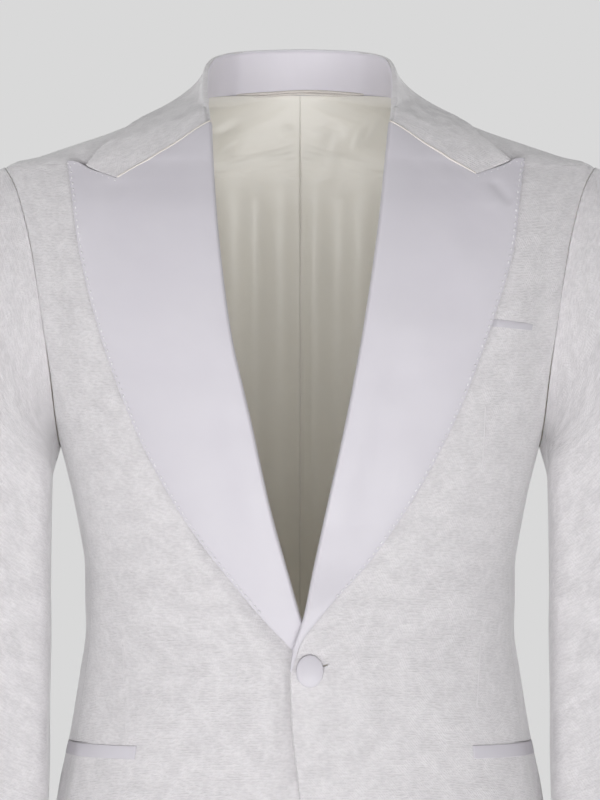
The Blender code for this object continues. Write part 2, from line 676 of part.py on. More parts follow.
# ---- collar -----------------------------------------------------------------------------------
def collar_frames(side):
    """Rows along one half of the collar: crease, up and out directions, leaf edge point."""
    count = len(COLLAR_ROWS)
    at = np.linspace(0, count - 1, (count - 1) * COLLAR_STEPS + 1)
    read = {name: smooth(np.arange(count), COLLAR_TABLE[name], at) for name in COLLAR_COLUMNS}
    crease = np.stack([read["crease_x"], read["crease_y"], read["crease_z"]], -1)
    lean = read["lean"]
    leaf = body_point(read["leaf_turn"], read["leaf_height"])
    leaf += body_normal(read["leaf_turn"], read["leaf_height"]) * (LEAF_LIFT + COLLAR / 2)
    front = np.array(COLLAR_FRONT_ROWS, float)
    lift = np.full(len(front), roll_lift(0.0) + COLLAR / 2 - CREASE_RADIUS)
    crease = np.concatenate([crease, on_body(front[:, 0], front[:, 1], lift)])
    lean = np.radians(np.concatenate([lean, front[:, 2]]))
    tips = np.array(LEFT_LEAF_FRONT if side == "left" else RIGHT_LEAF_FRONT)
    lift = np.full(len(tips), LEAF_LIFT + COLLAR / 2)
    leaf = np.concatenate([leaf, on_body(tips[:, 0], tips[:, 1], lift)])
    along = np.gradient(crease, axis=0)
    along[0] = (1.0, 0, 0)
    along = unit(along)
    inward = unit(np.cross([0, 0, 1.0], along) * np.array([1.0, 1.0, 0]))
    up = unit(np.cos(lean)[:, None] * np.array([0, 0, 1.0]) - np.sin(lean)[:, None] * inward)
    return crease, up, unit(np.cross(up, along)), leaf


def fold_point(crease, up, out, angle):
    """Point of the fold's middle line: 0 on the leaf's side, 90 on top, 180 inside."""
    angle = np.radians(angle)
    centre = crease - up * (CREASE_RADIUS + COLLAR / 2)
    return centre + CREASE_RADIUS * (np.cos(angle) * out + np.sin(angle) * up)


def leaf_columns(side):
    crease, up, out, leaf = collar_frames(side)
    ends = len(crease) - len(COLLAR_FRONT_ROWS)
    tips = np.array(LEFT_LEAF_FRONT if side == "left" else RIGHT_LEAF_FRONT)
    columns = []
    for k in range(len(crease)):
        arc = LEAF_ARC if k < ends else NOSE_ARC
        points = [fold_point(crease[k], up[k], out[k], angle) for angle in arc]
        if k >= ends:
            start, end = np.array(COLLAR_FRONT_ROWS[k - ends][:2]), tips[k - ends]
            line = start + (end - start) * np.array(LEAF_SHARES)[:, None]
            lift = roll_lift(np.array(LEAF_SHARES) * np.linalg.norm(end - start)) + COLLAR / 2
            columns.append(points + list(on_body(line[:, 0], line[:, 1], lift)))
            continue
        start, end = points[-1], leaf[k]
        pull = np.linalg.norm(end - start) * 0.36
        settle = unit(end - crease[k])
        for u in LEAF_SHARES:
            points.append(
                (1 - u) ** 3 * start
                + 3 * u * (1 - u) ** 2 * (start - up[k] * pull)
                + 3 * u * u * (1 - u) * (end - settle * pull)
                + u**3 * end
            )
        columns.append(points)
    columns = np.array(columns)
    lying = columns[:, len(LEAF_ARC) :]
    columns[:, len(LEAF_ARC) :] = stand_off(lying, LEAF_LIFT + COLLAR / 2)
    return columns


def add_collar_leaf():
    left, right = leaf_columns("left"), mirrored(leaf_columns("right"))
    grid = np.concatenate([right[:0:-1], left])
    for end, inside in ((0, 1), (-1, -2)):
        grid[end] -= unit(grid[end] - grid[inside]) * GORGE_GAP / 2
    add_sheet("collar_leaf", grid, COLLAR, "cloth")


def stand_foot(k, fold):
    """Foot of the collar stand at a row of the collar, just clear of the panels' edges."""
    at = k / COLLAR_STEPS
    places = np.arange(len(COLLAR_ROWS))
    height = float(smooth(places, COLLAR_TABLE["foot_height"], at))
    turn = float(smooth(places, COLLAR_TABLE["foot_turn"], at))
    if height < SHOULDER_RINGS[-1]:
        turn = float(front_turn(inner_x("left", height), height))
    normal = body_normal(turn, height)
    foot = body_point(turn, height) - normal * SHELL / 2
    towards = unit(fold - foot)
    return foot + towards * (STAND_GAP + abs(towards @ normal) * (SHELL + COLLAR) / 4)


def add_collar_stand():
    crease, up, out, _ = collar_frames("left")
    columns = []
    for k in range((STAND_END_ROWS - 1) * COLLAR_STEPS + 1):
        points = [fold_point(crease[k], up[k], out[k], angle) for angle in STAND_ARC]
        foot = stand_foot(k, points[-1])
        for share in STAND_SHARES:
            points.append(points[len(STAND_ARC) - 1] * (1 - share) + foot * share)
        columns.append(points)
    half = np.array(columns)
    grid = np.concatenate([mirrored(half[:0:-1]), half])
    add_sheet("collar_stand", grid, STAND, "satin")


# ---- pockets and button ---------------------------------------------------------------------------
def add_strip(name, side, turns, tops, bottoms, lift):
    """A welt on the body's face, from its inner end outwards."""
    share = np.linspace(0, 1, WELT_SEGMENTS + 1)
    heights = np.array([a + (b - a) * share for a, b in (bottoms, tops)])
    turns = np.broadcast_to(turns[0] + (turns[1] - turns[0]) * share, heights.shape)
    points, normals = body_point(turns, heights), body_normal(turns, heights)
    outer = points + normals * (lift + WELT)
    inner = points + normals * lift
    return add_wall(name, for_side(side, outer), for_side(side, inner), "satin")


def add_hip_welt(side):
    middle = (HIP_TOP[0] + HIP_BOTTOM[0]) / 2
    inner = float(front_turn(HIP_INNER[side], middle))
    outer = float(side_turn(HIP_END_OFFSET, middle))
    add_strip("hip_welt_" + side, side, (inner, outer), HIP_TOP, HIP_BOTTOM, HIP_WELT_LIFT)


def add_breast_welt():
    middle = (BREAST_TOP[0] + BREAST_BOTTOM[1]) / 2
    turns = float(front_turn(BREAST_INNER, middle)), float(front_turn(BREAST_OUTER, middle))
    add_strip("breast_welt", "left", turns, BREAST_TOP, BREAST_BOTTOM, BREAST_WELT_LIFT)


def front_face(side, x, height):
    """The y of a front's outer face near the centre."""
    base = body_point(front_turn(x, height), height)
    return float(base[1] - overlap(side, base))


def lathe(profile, sides, centre, stretch=1.0):
    """A turned solid about the y axis, from (radius, y) pairs, closed at both ends."""
    points, faces = [], []
    for radius, y in profile:
        for i in range(sides):
            angle = 2 * np.pi * i / sides
            points.append((radius * np.cos(angle), y, radius * np.sin(angle) * stretch))
    for r in range(len(profile) - 1):
        for i in range(sides):
            j = (i + 1) % sides
            faces.append([r * sides + i, r * sides + j, (r + 1) * sides + j, (r + 1) * sides + i])
    faces.append(list(range(sides)))
    faces.append([len(points) - 1 - i for i in range(sides)])
    return np.array(points) + np.array(centre), faces


def add_button():
    back = front_face("left", BUTTON_X, BUTTON_HEIGHT) - BUTTON_CLEARANCE
    profile = [(BUTTON_HALF_WIDTH * share, -out) for share, out in BUTTON_PROFILE]
    stretch = BUTTON_HALF_HEIGHT / BUTTON_HALF_WIDTH
    points, faces = lathe(profile, BUTTON_SIDES, (BUTTON_X, back, BUTTON_HEIGHT), stretch)
    add_object("button", points, faces, "satin")
    inner = front_face("right", -BUTTON_X, HOLE_HEIGHT)
    profile = ((SHANK_RADIUS, inner - SHANK_GAP), (SHANK_RADIUS, back + SHANK_GAP))
    points, faces = lathe(profile, SHANK_SIDES, (BUTTON_X, 0, HOLE_HEIGHT))
    add_object("button_shank", points, faces, "satin")


def cut_buttonhole(front):
    """A slot through the left front, for the button's shank."""
    mesh = bpy.data.meshes.new("buttonhole_cutter")
    shape = bmesh.new()
    bmesh.ops.create_cube(shape, size=1.0)
    face = front_face("left", BUTTON_X, BUTTON_HEIGHT)
    for corner in shape.verts:
        corner.co.x = (HOLE_CENTRE_X + corner.co.x * HOLE_LENGTH) * MM
        corner.co.y = (face + corner.co.y * HOLE_DEPTH) * MM
        corner.co.z = (HOLE_HEIGHT + corner.co.z * HOLE_WIDTH) * MM
    shape.to_mesh(mesh)
    shape.free()
    cutter = bpy.data.objects.new("buttonhole_cutter", mesh)
    bpy.context.scene.collection.objects.link(cutter)
    cutter.hide_render = True
    cutter.display_type = "WIRE"
    slot = front.modifiers.new("buttonhole", "BOOLEAN")
    slot.operation = "DIFFERENCE"
    slot.solver = "EXACT"
    slot.object = cutter


def clear_scene():
    for found in list(bpy.data.objects):
        bpy.data.objects.remove(found)


clear_scene()
MATERIALS = {slot: material(slot) for slot in COLOURS}


def main():
    for side in ("left", "right"):
        front = add_front(side)
        if side == "left":
            cut_buttonhole(front)
        add_side(side)
        add_back(side)
        add_lining(side)
        add_sleeve(side, "top")
        add_sleeve(side, "under")
        add_lapel(side)
        add_hip_welt(side)
    add_collar_leaf()
    add_collar_stand()
    add_breast_welt()
    add_button()


main()
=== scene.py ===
# %% [markdown]
# # A white tuxedo jacket
#
# This lesson makes the finished look of one part: the jacket of a white tuxedo, closed on
# its one button and filled out as if somebody wore it. The plain solids come from the
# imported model. Each step makes one group of cloth pieces in the place of its solid, as a
# tailor would make them up, with folds, seams, stitches and a woven finish.
#
# The sizes are in millimetres and the scene is in metres. Z points up, the front faces -Y,
# and +X is the wearer's left. The origin lies midway between the two neck points.

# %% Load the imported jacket
import json

import bmesh
import bpy
import numpy as np
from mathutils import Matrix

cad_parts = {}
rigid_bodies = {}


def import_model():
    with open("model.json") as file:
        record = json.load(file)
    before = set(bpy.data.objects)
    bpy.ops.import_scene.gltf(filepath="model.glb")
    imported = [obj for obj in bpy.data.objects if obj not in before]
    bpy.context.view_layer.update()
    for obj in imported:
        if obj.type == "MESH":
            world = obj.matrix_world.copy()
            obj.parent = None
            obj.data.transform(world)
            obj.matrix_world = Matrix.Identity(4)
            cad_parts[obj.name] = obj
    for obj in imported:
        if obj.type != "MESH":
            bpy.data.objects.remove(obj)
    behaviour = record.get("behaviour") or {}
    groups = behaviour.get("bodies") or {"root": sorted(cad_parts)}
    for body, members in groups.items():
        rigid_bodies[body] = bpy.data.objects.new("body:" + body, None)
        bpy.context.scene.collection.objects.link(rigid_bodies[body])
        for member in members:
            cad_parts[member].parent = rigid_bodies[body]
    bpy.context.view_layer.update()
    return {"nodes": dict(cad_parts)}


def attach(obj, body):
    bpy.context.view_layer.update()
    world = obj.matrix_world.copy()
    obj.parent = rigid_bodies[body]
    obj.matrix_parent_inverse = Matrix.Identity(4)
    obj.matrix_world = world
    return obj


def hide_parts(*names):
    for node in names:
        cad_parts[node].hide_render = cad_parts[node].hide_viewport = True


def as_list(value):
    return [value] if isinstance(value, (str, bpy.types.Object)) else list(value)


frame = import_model()
MM = 0.001  # metres in a millimetre
print("nodes:", sorted(frame["nodes"]))

# %% [markdown]
# ## The body's shape
#
# A jacket that is worn has one smooth outer surface, and its panels are patches of it. So
# one table gives the body from the hem to the neck: half widths, depths in front and
# behind, and how square each ring is. A point on it has a turn, 0 at the centre front, 90
# at the wearer's left side and 180 behind, and a height. These are the same tables that
# the solids come from, so that the cloth lies where the solids are.

# %% The body's table
BODY_COLUMNS = "height half_width side_y front_depth back_depth front_power back_power".split()
BODY_ROWS = (
    (-740, 202.0, 2, 131, 106, 2.3, 2.3),
    (-620, 198.0, 3, 134, 110, 2.3, 2.3),
    (-546, 190.0, 3, 132, 101, 2.3, 2.3),
    (-495, 179.5, 3, 129, 89, 2.3, 2.3),
    (-450, 172.0, 3, 125, 80, 2.3, 2.3),
    (-412, 167.5, 3, 124, 77, 2.3, 2.3),
    (-370, 167.0, 3, 125, 81, 2.3, 2.3),
    (-340, 171.0, 3, 127, 87, 2.3, 2.3),
    (-309, 178.0, 3, 129, 94, 2.35, 2.3),
    (-262, 189.5, 3, 131, 104, 2.4, 2.35),
    (-230, 197.0, 2, 131, 110, 2.4, 2.4),
    (-190, 206.0, 2, 130, 113, 2.4, 2.4),
    (-150, 214.0, 1, 124, 114, 2.4, 2.4),
    (-120, 219.5, 1, 118, 112, 2.35, 2.35),
    (-90, 225.0, 0, 108, 108, 2.25, 2.25),
    (-72, 228.0, 0, 99, 105, 2.15, 2.15),
    (-55, 230.5, 0, 90, 101, 2.0, 2.0),
    (-46, 206.0, 0, 86.5, 99, 2.0, 2.0),
    (-37, 179.3, 0, 82.5, 97, 2.0, 2.0),
    (-28, 151.7, 0, 77, 94, 2.0, 2.0),
    (-19, 124.0, 0, 69, 91, 2.0, 2.0),
    (-10.5, 100.0, 0, 59, 88, 2.0, 2.0),
    (-2, 76.0, 0, 46, 85, 2.0, 2.0),
)
HEM, NECK_RING = -740.0, -3.0  # a panel's lowest and highest ring
NECK_ZONE, NECK_TOP, NECK_RISE = -40.0, -2.0, 10.0  # the back of the neck stands higher


def hermite(u, start, end, leave, arrive):
    """A curve from start to end, read at shares u of its way, by its slopes at both ends."""
    between = (1 + 2 * u) * (1 - u) ** 2 * start + u * u * (3 - 2 * u) * end
    return between + u * (1 - u) * ((1 - u) * leave - u * arrive)


def smooth(places, values, at):
    """A curve through the values, with no overshoot, read at the given places."""
    places, values = np.asarray(places, float), np.asarray(values, float)
    step = np.diff(places)
    slope = np.diff(values) / step
    before, after = slope[:-1], slope[1:]
    same = before * after > 0
    middle = np.where(same, 2 * before * after / np.where(same, before + after, 1), 0)
    tangent = np.concatenate([slope[:1], middle, slope[-1:]])
    at = np.clip(np.asarray(at, float), places[0], places[-1])
    i = np.clip(np.searchsorted(places, at, side="right") - 1, 0, len(step) - 1)
    h = step[i]
    u = (at - places[i]) / h
    return hermite(u, values[i], values[i + 1], h * tangent[i], h * tangent[i + 1])


def table(columns, rows):
    return dict(zip(columns, np.array(rows, float).T))


BODY = table(BODY_COLUMNS, BODY_ROWS)
print("body rings:", len(BODY_ROWS), "from", BODY_ROWS[0][0], "to", BODY_ROWS[-1][0])

# %% Points and normals on the body
SIDES = ("left", "right")


def body(name, height):
    return smooth(BODY["height"], BODY[name], height)


def body_point(turn, height):
    """Points of the body's face. A turn is 0 in front and 90 at the wearer's left."""
    turn, height = np.broadcast_arrays(np.radians(turn), np.asarray(height, float))
    back = np.cos(turn) < 0
    depth, power = (
        np.where(back, body("back_" + name, height), body("front_" + name, height))
        for name in ("depth", "power")
    )
    reach = (np.abs(np.sin(turn)) ** power + np.abs(np.cos(turn)) ** power) ** (-1 / power)
    rise = np.clip((height - NECK_ZONE) / (NECK_TOP - NECK_ZONE), 0, 1) ** 2
    x = body("half_width", height) * reach * np.sin(turn)
    y = body("side_y", height) - depth * reach * np.cos(turn)
    z = height + NECK_RISE * rise * np.maximum(-np.cos(turn) * reach, 0) ** 2
    return np.stack([x, y, z], axis=-1)


def unit(vectors):
    return vectors / np.linalg.norm(vectors, axis=-1, keepdims=True)


def body_normal(turn, height):
    around = body_point(np.add(turn, 0.05), height) - body_point(np.subtract(turn, 0.05), height)
    up = body_point(turn, np.add(height, 0.5)) - body_point(turn, np.subtract(height, 0.5))
    return unit(np.cross(around, up))


def front_turn(x, height, back=False):
    """Turn of the point in front, or behind, that is x to the wearer's left of the centre."""
    power = body("back_power" if back else "front_power", height)
    across = np.clip(np.abs(x) / body("half_width", height), 0, 1)
    turn = np.degrees(np.arctan2(across, (1 - across**power) ** (1 / power))) * np.sign(x)
    return 180 - turn if back else turn


def side_turn(offset, height, back=False):
    """Turn of the point that lies offset in front of, or behind, the side line."""
    name = "back" if back else "front"
    power = body(name + "_power", height)
    along = np.clip(np.asarray(offset) / body(name + "_depth", height), 0, 1)
    turn = np.degrees(np.arctan2((1 - along**power) ** (1 / power), along))
    return 180 - turn if back else turn


def on_body(x, height, lift=0.0):
    """The front point at x and height, moved out along the body's normal."""
    turn = front_turn(x, height)
    return body_point(turn, height) + np.asarray(lift)[..., None] * body_normal(turn, height)


def between(places):
    """More points on a smooth curve through a row of pairs, as two rows of numbers."""
    first, second = np.array(places, float).T
    knots = np.arange(len(first))
    at = np.linspace(0, len(first) - 1, 6 * len(first))
    return smooth(knots, first, at), smooth(knots, second, at)


def for_side(side, points):
    """The points as they are for the wearer's left, or mirrored for the right."""
    return points * np.array([-1.0, 1.0, 1.0]) if side == "right" else points


print("front of the waist:", np.round(body_point(0.0, -412.0), 1))

# %% [markdown]
# ## One way to make up every piece
#
# Real cloth is thin, has two faces and a soft turned edge. Each piece here starts as two
# grids of points, its face and its back. A helper joins them round the edges by a rounded
# rim, so that every piece is one closed shell. It also writes a map in metres of cloth,
# which the weave follows, so that a thread is as wide on a sleeve as on a front.

# %% Make up a piece from its two faces
RIM, SEWN = 0.45, 0.05  # how far an edge is rounded off, free or sewn, by the thickness
EDGE_STEP = 1.4  # from an edge to the next row of points
PIECES = {}


def cloth_map(grid):
    """Metres of cloth across and along at each point of a grid."""
    across = np.zeros(grid.shape[:2])
    across[:, 1:] = np.cumsum(np.linalg.norm(np.diff(grid, axis=1), axis=-1), axis=1)
    along = np.linalg.norm(np.diff(grid, axis=0), axis=-1).mean(axis=1)
    along = np.concatenate([[0.0], np.cumsum(along)])
    return np.stack([across, np.broadcast_to(along[:, None], across.shape)], -1) * MM


def edge_loop(rows, cols):
    """Row and column of each point round a grid's edge, in order."""
    top = [(0, c) for c in range(cols)]
    right = [(r, cols - 1) for r in range(1, rows)]
    bottom = [(rows - 1, c) for c in range(cols - 2, -1, -1)]
    left = [(r, 0) for r in range(rows - 2, 0, -1)]
    return np.array(top + right + bottom + left).T


def quads(index, closed=False):
    """The faces between a grid's points, given by their numbers."""
    if closed:
        index = np.concatenate([index, index[:, :1]], axis=1)
    corners = index[:-1, :-1], index[:-1, 1:], index[1:, 1:], index[1:, :-1]
    return np.stack(corners, -1).reshape(-1, 4)


def drawn_in(grid, amounts):
    """The grid with its outermost points moved in along the cloth, short of the next ones.

    The amounts are for its first and last row, then its first and last column.
    """
    moved = grid.copy()
    every = slice(None)
    edges = ((0, 1), (-1, -2), ((every, 0), (every, 1)), ((every, -1), (every, -2)))
    for (edge, inside), amount in zip(edges, amounts):
        step = grid[inside] - grid[edge]
        length = np.linalg.norm(step, axis=-1, keepdims=True)
        moved[edge] += step * np.minimum(amount / np.maximum(length, 1e-6), 0.7)
    return moved


def make_up(name, side, face, back, finishes, rims=(RIM, RIM, RIM, RIM)):
    """One cloth piece for its side, from grids of its face and its back in millimetres."""
    face, back = for_side(side, face), for_side(side, back)
    cloth, index = cloth_map(face), np.arange(face[..., 0].size).reshape(face.shape[:2])
    r, c = edge_loop(*index.shape)
    edge = (face[r, c] + back[r, c]) / 2
    depth = np.linalg.norm(face[r, c] - back[r, c], axis=-1).mean()
    face, back = (drawn_in(grid, [depth * rim for rim in rims]) for grid in (face, back))
    shell = quads(index)
    rim = np.stack([index[r, c], np.arange(len(r)) + 2 * index.size, index[r, c] + index.size])
    faces = [shell, shell[:, ::-1] + index.size, quads(rim, closed=True)[:, ::-1]]
    inside = np.zeros(sum(map(len, faces)), int)
    inside[len(shell) : 2 * len(shell)] = len(finishes) - 1
    points = np.concatenate([face.reshape(-1, 3), back.reshape(-1, 3), edge]) * MM
    flat = np.concatenate([cloth.reshape(-1, 2), cloth.reshape(-1, 2), cloth[r, c]])
    return add_mesh(name, points, np.concatenate(faces), finishes, inside, flat)


def add_mesh(name, points, faces, finishes, which=None, flat=None):
    """A closed mesh, in metres, with its faces turned outwards and its cloth map."""
    mesh = bpy.data.meshes.new(name)
    mesh.from_pydata(points.tolist(), [], [list(map(int, face)) for face in faces])
    for finish in finishes:
        mesh.materials.append(finish)
    if which is not None:
        mesh.polygons.foreach_set("material_index", which)
    shape = bmesh.new()
    shape.from_mesh(mesh)
    bmesh.ops.recalc_face_normals(shape, faces=shape.faces)
    if shape.calc_volume(signed=True) < 0:
        bmesh.ops.reverse_faces(shape, faces=shape.faces)
    shape.to_mesh(mesh)
    shape.free()
    if flat is not None:
        corner = np.zeros(len(mesh.loops), int)
        mesh.loops.foreach_get("vertex_index", corner)
        mesh.uv_layers.new(name="cloth").data.foreach_set("uv", flat[corner].ravel())
    mesh.shade_smooth()
    PIECES[name] = bpy.data.objects.new(name, mesh)
    bpy.context.scene.collection.objects.link(PIECES[name])
    print(name, len(faces), "faces")
    return PIECES[name]


def edged(count, length, near=EDGE_STEP):
    """Shares from 0 to 1 in even steps, with one more close to each end."""
    shares = np.linspace(0, 1, count + 1)
    close = min(near / length, 0.4 / count)
    return np.concatenate([[0, close], shares[1:-1], [1 - close, 1]])


print("rim:", RIM, "of the thickness")

# %% [markdown]
# ## Soft folds
#
# Cloth on a body is never quite even: it dips beside a seam, drapes at the waist and
# breaks over the arm. A fold here is a line on the piece with a width and a height. Every
# point near the line moves out by that height, or in where it is less than nothing, and
# the fold fades away from its line and towards its two ends.

# %% A soft fold along a line
def ease(share):
    share = np.clip(share, 0, 1)
    return share * share * (3 - 2 * share)


def fold(points, line, width, height, fade=0.3):
    """How far one fold moves each point out. The line is a row of points."""
    line = np.asarray(line, float)
    steps = np.linalg.norm(np.diff(line, axis=0), axis=-1)
    begins = np.concatenate([[0], np.cumsum(steps)])
    nearest = np.full(points.shape[:-1], 1e9)
    place = np.zeros(points.shape[:-1])
    for i, step in enumerate(steps):
        way = (line[i + 1] - line[i]) / step
        along = np.clip((points - line[i]) @ way, 0, step)
        gap = np.linalg.norm(points - line[i] - along[..., None] * way, axis=-1)
        closer = gap < nearest
        nearest = np.where(closer, gap, nearest)
        place = np.where(closer, (begins[i] + along) / begins[-1], place)
    ends = ease(place / fade) * ease((1 - place) / fade)
    return height * np.exp(-((nearest / width) ** 2)) * ends


def folded(points, folds):
    """Sum of several folds, each a line, a width, a height and, if given, a fade."""
    total = np.zeros(points.shape[:-1])
    for line, *sizes in folds:
        total += fold(points, line, *sizes)
    return total


def ripple(points, size, height, seed):
    """Slow uneven waves over the cloth, the same on every run."""
    draw = np.random.default_rng(seed)
    total = np.zeros(points.shape[:-1])
    for _ in range(7):
        way = unit(draw.normal(size=3)) * 2 * np.pi / (size * draw.uniform(0.7, 1.6))
        total += np.sin(points @ way + draw.uniform(0, 2 * np.pi))
    return total * height / 3


tried = fold(np.array([4.0, 0, 0]), [(0, 0, -9), (0, 0, 9)], 8, 1)
print("a fold 8 mm wide still stands at 4 mm:", round(float(tried), 2))

# %% [markdown]
# ## Three finishes and the thread
#
# The white cloth has a fine rib across it and a faint cloudy figure, where patches of the
# weave turn to a diagonal. The facings are satin: smooth, cool white and softly shiny. The
# lining is a thinner satin in ivory. All of them are worked out from the cloth map, in
# metres, so nothing slides when the camera or a piece moves. The fine relief is bump, and
# every fold that shows in outline is real shape.

# %% Helpers for finishes
WAVE_TURNS = 20.0  # a wave texture of scale 1 makes this many radians in each metre


def new_finish(name, colour, roughness, sheen=0.0, specular=0.5):
    """A material with its shader's even values set on the shader itself."""
    finish = bpy.data.materials.new(name)
    finish.use_nodes = True
    finish.diffuse_color = (*colour, 1.0)
    shader = finish.node_tree.nodes["Principled BSDF"]
    shader.inputs["Base Color"].default_value = (*colour, 1.0)
    shader.inputs["Roughness"].default_value = roughness
    shader.inputs["Sheen Weight"].default_value = sheen
    shader.inputs["Sheen Roughness"].default_value = 0.5
    shader.inputs["Specular IOR Level"].default_value = specular
    return finish, finish.node_tree, shader


def add(tree, kind, links=(), **values):
    """One node, with its plain settings, its sockets' values and its links set."""
    made = tree.nodes.new(kind)
    for name, value in values.items():
        if hasattr(made, name):
            setattr(made, name, value)
        else:
            made.inputs[name.replace("_", " ")].default_value = value
    for socket, source in dict(links).items():
        tree.links.new(source, made.inputs[socket])
    return made


def sum_of(tree, *terms):
    """Adds up (output, amount) pairs."""
    total = None
    for output, amount in terms:
        scaled = add(tree, "ShaderNodeMath", {0: output}, operation="MULTIPLY")
        scaled.inputs[1].default_value = amount
        if total is None:
            total = scaled.outputs[0]
        else:
            joined = add(tree, "ShaderNodeMath", {0: total, 1: scaled.outputs[0]}, operation="ADD")
            total = joined.outputs[0]
    return total


def cloud(tree, where, size, detail=3.0, stretch=(1, 1, 1)):
    """Noise whose patches are about that many metres across."""
    turned = add(tree, "ShaderNodeMapping", {"Vector": where}, Scale=stretch)
    at = {"Vector": turned.outputs[0]}
    found = add(tree, "ShaderNodeTexNoise", at, Scale=1 / size, Detail=detail)
    return found.outputs["Fac"]


def ribs(tree, where, pitch, turn=0.0, waver=1.5):
    """Ribs across the cloth, that many metres from one to the next."""
    turned = add(tree, "ShaderNodeMapping", {"Vector": where}, Rotation=(0, 0, np.radians(turn)))
    found = add(
        tree,
        "ShaderNodeTexWave",
        {"Vector": turned.outputs[0]},
        bands_direction="Y",
        Scale=2 * np.pi / WAVE_TURNS / pitch,
        Distortion=waver,
        Detail=2.0,
        Detail_Scale=1.5,
    )
    return found.outputs["Fac"]


def shaded(tree, shader, dark, light, share):
    """Blends the base colour from dark to light by a share that varies."""
    blend = add(tree, "ShaderNodeMix", {0: share}, data_type="RGBA")
    blend.inputs[6].default_value = (*dark, 1.0)
    blend.inputs[7].default_value = (*light, 1.0)
    tree.links.new(blend.outputs[2], shader.inputs["Base Color"])


def raised(tree, shader, height, distance):
    """Gives the finish a relief, with its height in metres."""
    bump = add(tree, "ShaderNodeBump", {"Height": height}, Strength=1.0, Distance=distance)
    tree.links.new(bump.outputs[0], shader.inputs["Normal"])


def steps_between(tree, value, low, high):
    """Spreads the values between low and high over 0 to 1, softly."""
    spread = add(
        tree,
        "ShaderNodeMapRange",
        {"Value": value},
        From_Min=low,
        From_Max=high,
        interpolation_type="SMOOTHSTEP",
    )
    return spread.outputs[0]


# %% The white cloth
CLOTH_COLOURS = (0.737, 0.712, 0.732), (0.64, 0.618, 0.638), (0.827, 0.802, 0.822)


def figured_cloth():
    """White wool cloth: a fine rib, with a cloudy figure in a diagonal weave."""
    even, dark, light = CLOTH_COLOURS
    finish, tree, shader = new_finish("figured_cloth", even, 0.82, sheen=1.0, specular=0.25)
    where = add(tree, "ShaderNodeUVMap", uv_map="cloth").outputs[0]
    figure = cloud(tree, where, 0.010, detail=5.0)
    figure = steps_between(tree, figure, 0.40, 0.66)
    rib = ribs(tree, where, 0.00125, waver=4.0)
    twill = ribs(tree, where, 0.0017, turn=52.0, waver=5.0)
    slub = cloud(tree, where, 0.0022, detail=3.0, stretch=(0.5, 1.2, 1))
    weave = add(tree, "ShaderNodeMix", {0: figure, 2: rib, 3: twill}).outputs[0]
    height = sum_of(tree, (weave, 0.35), (slub, 1.1), (figure, 0.25))
    raised(tree, shader, height, 0.00042)
    patches = steps_between(tree, cloud(tree, where, 0.02, detail=6.0), 0.3, 0.7)
    specks = steps_between(tree, slub, 0.3, 0.7)
    tone = sum_of(tree, (patches, 0.3), (figure, 0.1), (specks, 0.45), (weave, 0.15))
    shaded(tree, shader, dark, light, tone)
    return finish

# %% The satin of the lapels, and the lining
SATIN_COLOURS = (0.69, 0.664, 0.717), (0.670, 0.642, 0.701), (0.709, 0.686, 0.733)
LINING_COLOURS = (0.968, 0.938, 0.868), (0.95, 0.915, 0.84), (0.975, 0.95, 0.89)


def satin(name, colours, gloss, stretch, bloom_size, bloom_height):
    """Satin of an even, a dark and a light colour: fine threads one way, a slow bloom."""
    even, dark, light = colours
    finish, tree, shader = new_finish(name, even, *gloss)
    where = add(tree, "ShaderNodeUVMap", uv_map="cloth").outputs[0]
    threads = cloud(tree, where, 0.0008, detail=2.0, stretch=stretch)
    bloom = cloud(tree, where, bloom_size, detail=2.0)
    raised(tree, shader, sum_of(tree, (threads, 0.10), (bloom, bloom_height)), 0.0003)
    shaded(tree, shader, dark, light, bloom)
    return finish


def facing_satin(name, tone=1.0):
    """Cool white satin with threads that run along the piece."""
    # A tone above 1 gives a copy of the satin with painted light, and a tone below 1 gives a copy
    # with painted shade.
    colours = [tuple(tone * c for c in colour) for colour in SATIN_COLOURS]
    return satin(name, colours, (0.42, 0.15, 0.4), (1, 0.06, 1), 0.05, 6.0)


def twisted_thread(name, colour):
    """Silk thread, with a fine twist."""
    finish, tree, shader = new_finish(name, colour, 0.5, sheen=0.2, specular=0.4)
    where = add(tree, "ShaderNodeTexCoord").outputs["Object"]
    raised(tree, shader, ribs(tree, where, 0.0006, turn=35.0, waver=0.5), 0.0001)
    dark, light = (tuple(min(tone * c, 1) for c in colour) for tone in (0.94, 1.04))
    shaded(tree, shader, dark, light, cloud(tree, where, 0.002))
    return finish


CLOTH, SATIN = figured_cloth(), facing_satin("facing_satin")
LINING = satin("ivory_lining", LINING_COLOURS, (0.4, 0.3, 0.5), (0.06, 1, 1), 0.04, 5.0)
# Copies of the lapels' satin with painted light and shade: the collar band's copy is lighter
# (painted light), the welts' and the button's copy is a little darker, and the breast welt's copy
# is darker still (painted shade).
PAINTED_LIGHT_BAND_SATIN, PAINTED_SHADE_WELT_SATIN = facing_satin("band_satin", 1.24), facing_satin("welt_satin", 0.98)
PAINTED_SHADE_BREAST_SATIN = facing_satin("breast_satin", 0.9)
THREAD = twisted_thread("silk_thread", (0.88, 0.86, 0.89))
PIPING = twisted_thread("cream_piping", (0.84, 0.79, 0.75))
# A dark finish for painted shade, laid where a pocket's mouth opens.
SHADOW = new_finish("painted_pocket_shade", (0.33, 0.31, 0.33), 0.9)[0]
print("finishes:", [finish.name for finish in (CLOTH, SATIN, LINING, THREAD, PIPING)])

# %% [markdown]
# ## The fronts
#
# Each front runs from the hem to the shoulder seam. Its inner edge is the rounded front
# edge, then the roll line under the lapel, then the neck seam. Its outer edge is the side
# seam, the armhole, then the shoulder seam. Rings of points lie close together where that
# edge turns fast. The wearer's left front stands off a little, where it laps over the
# right one at the button.

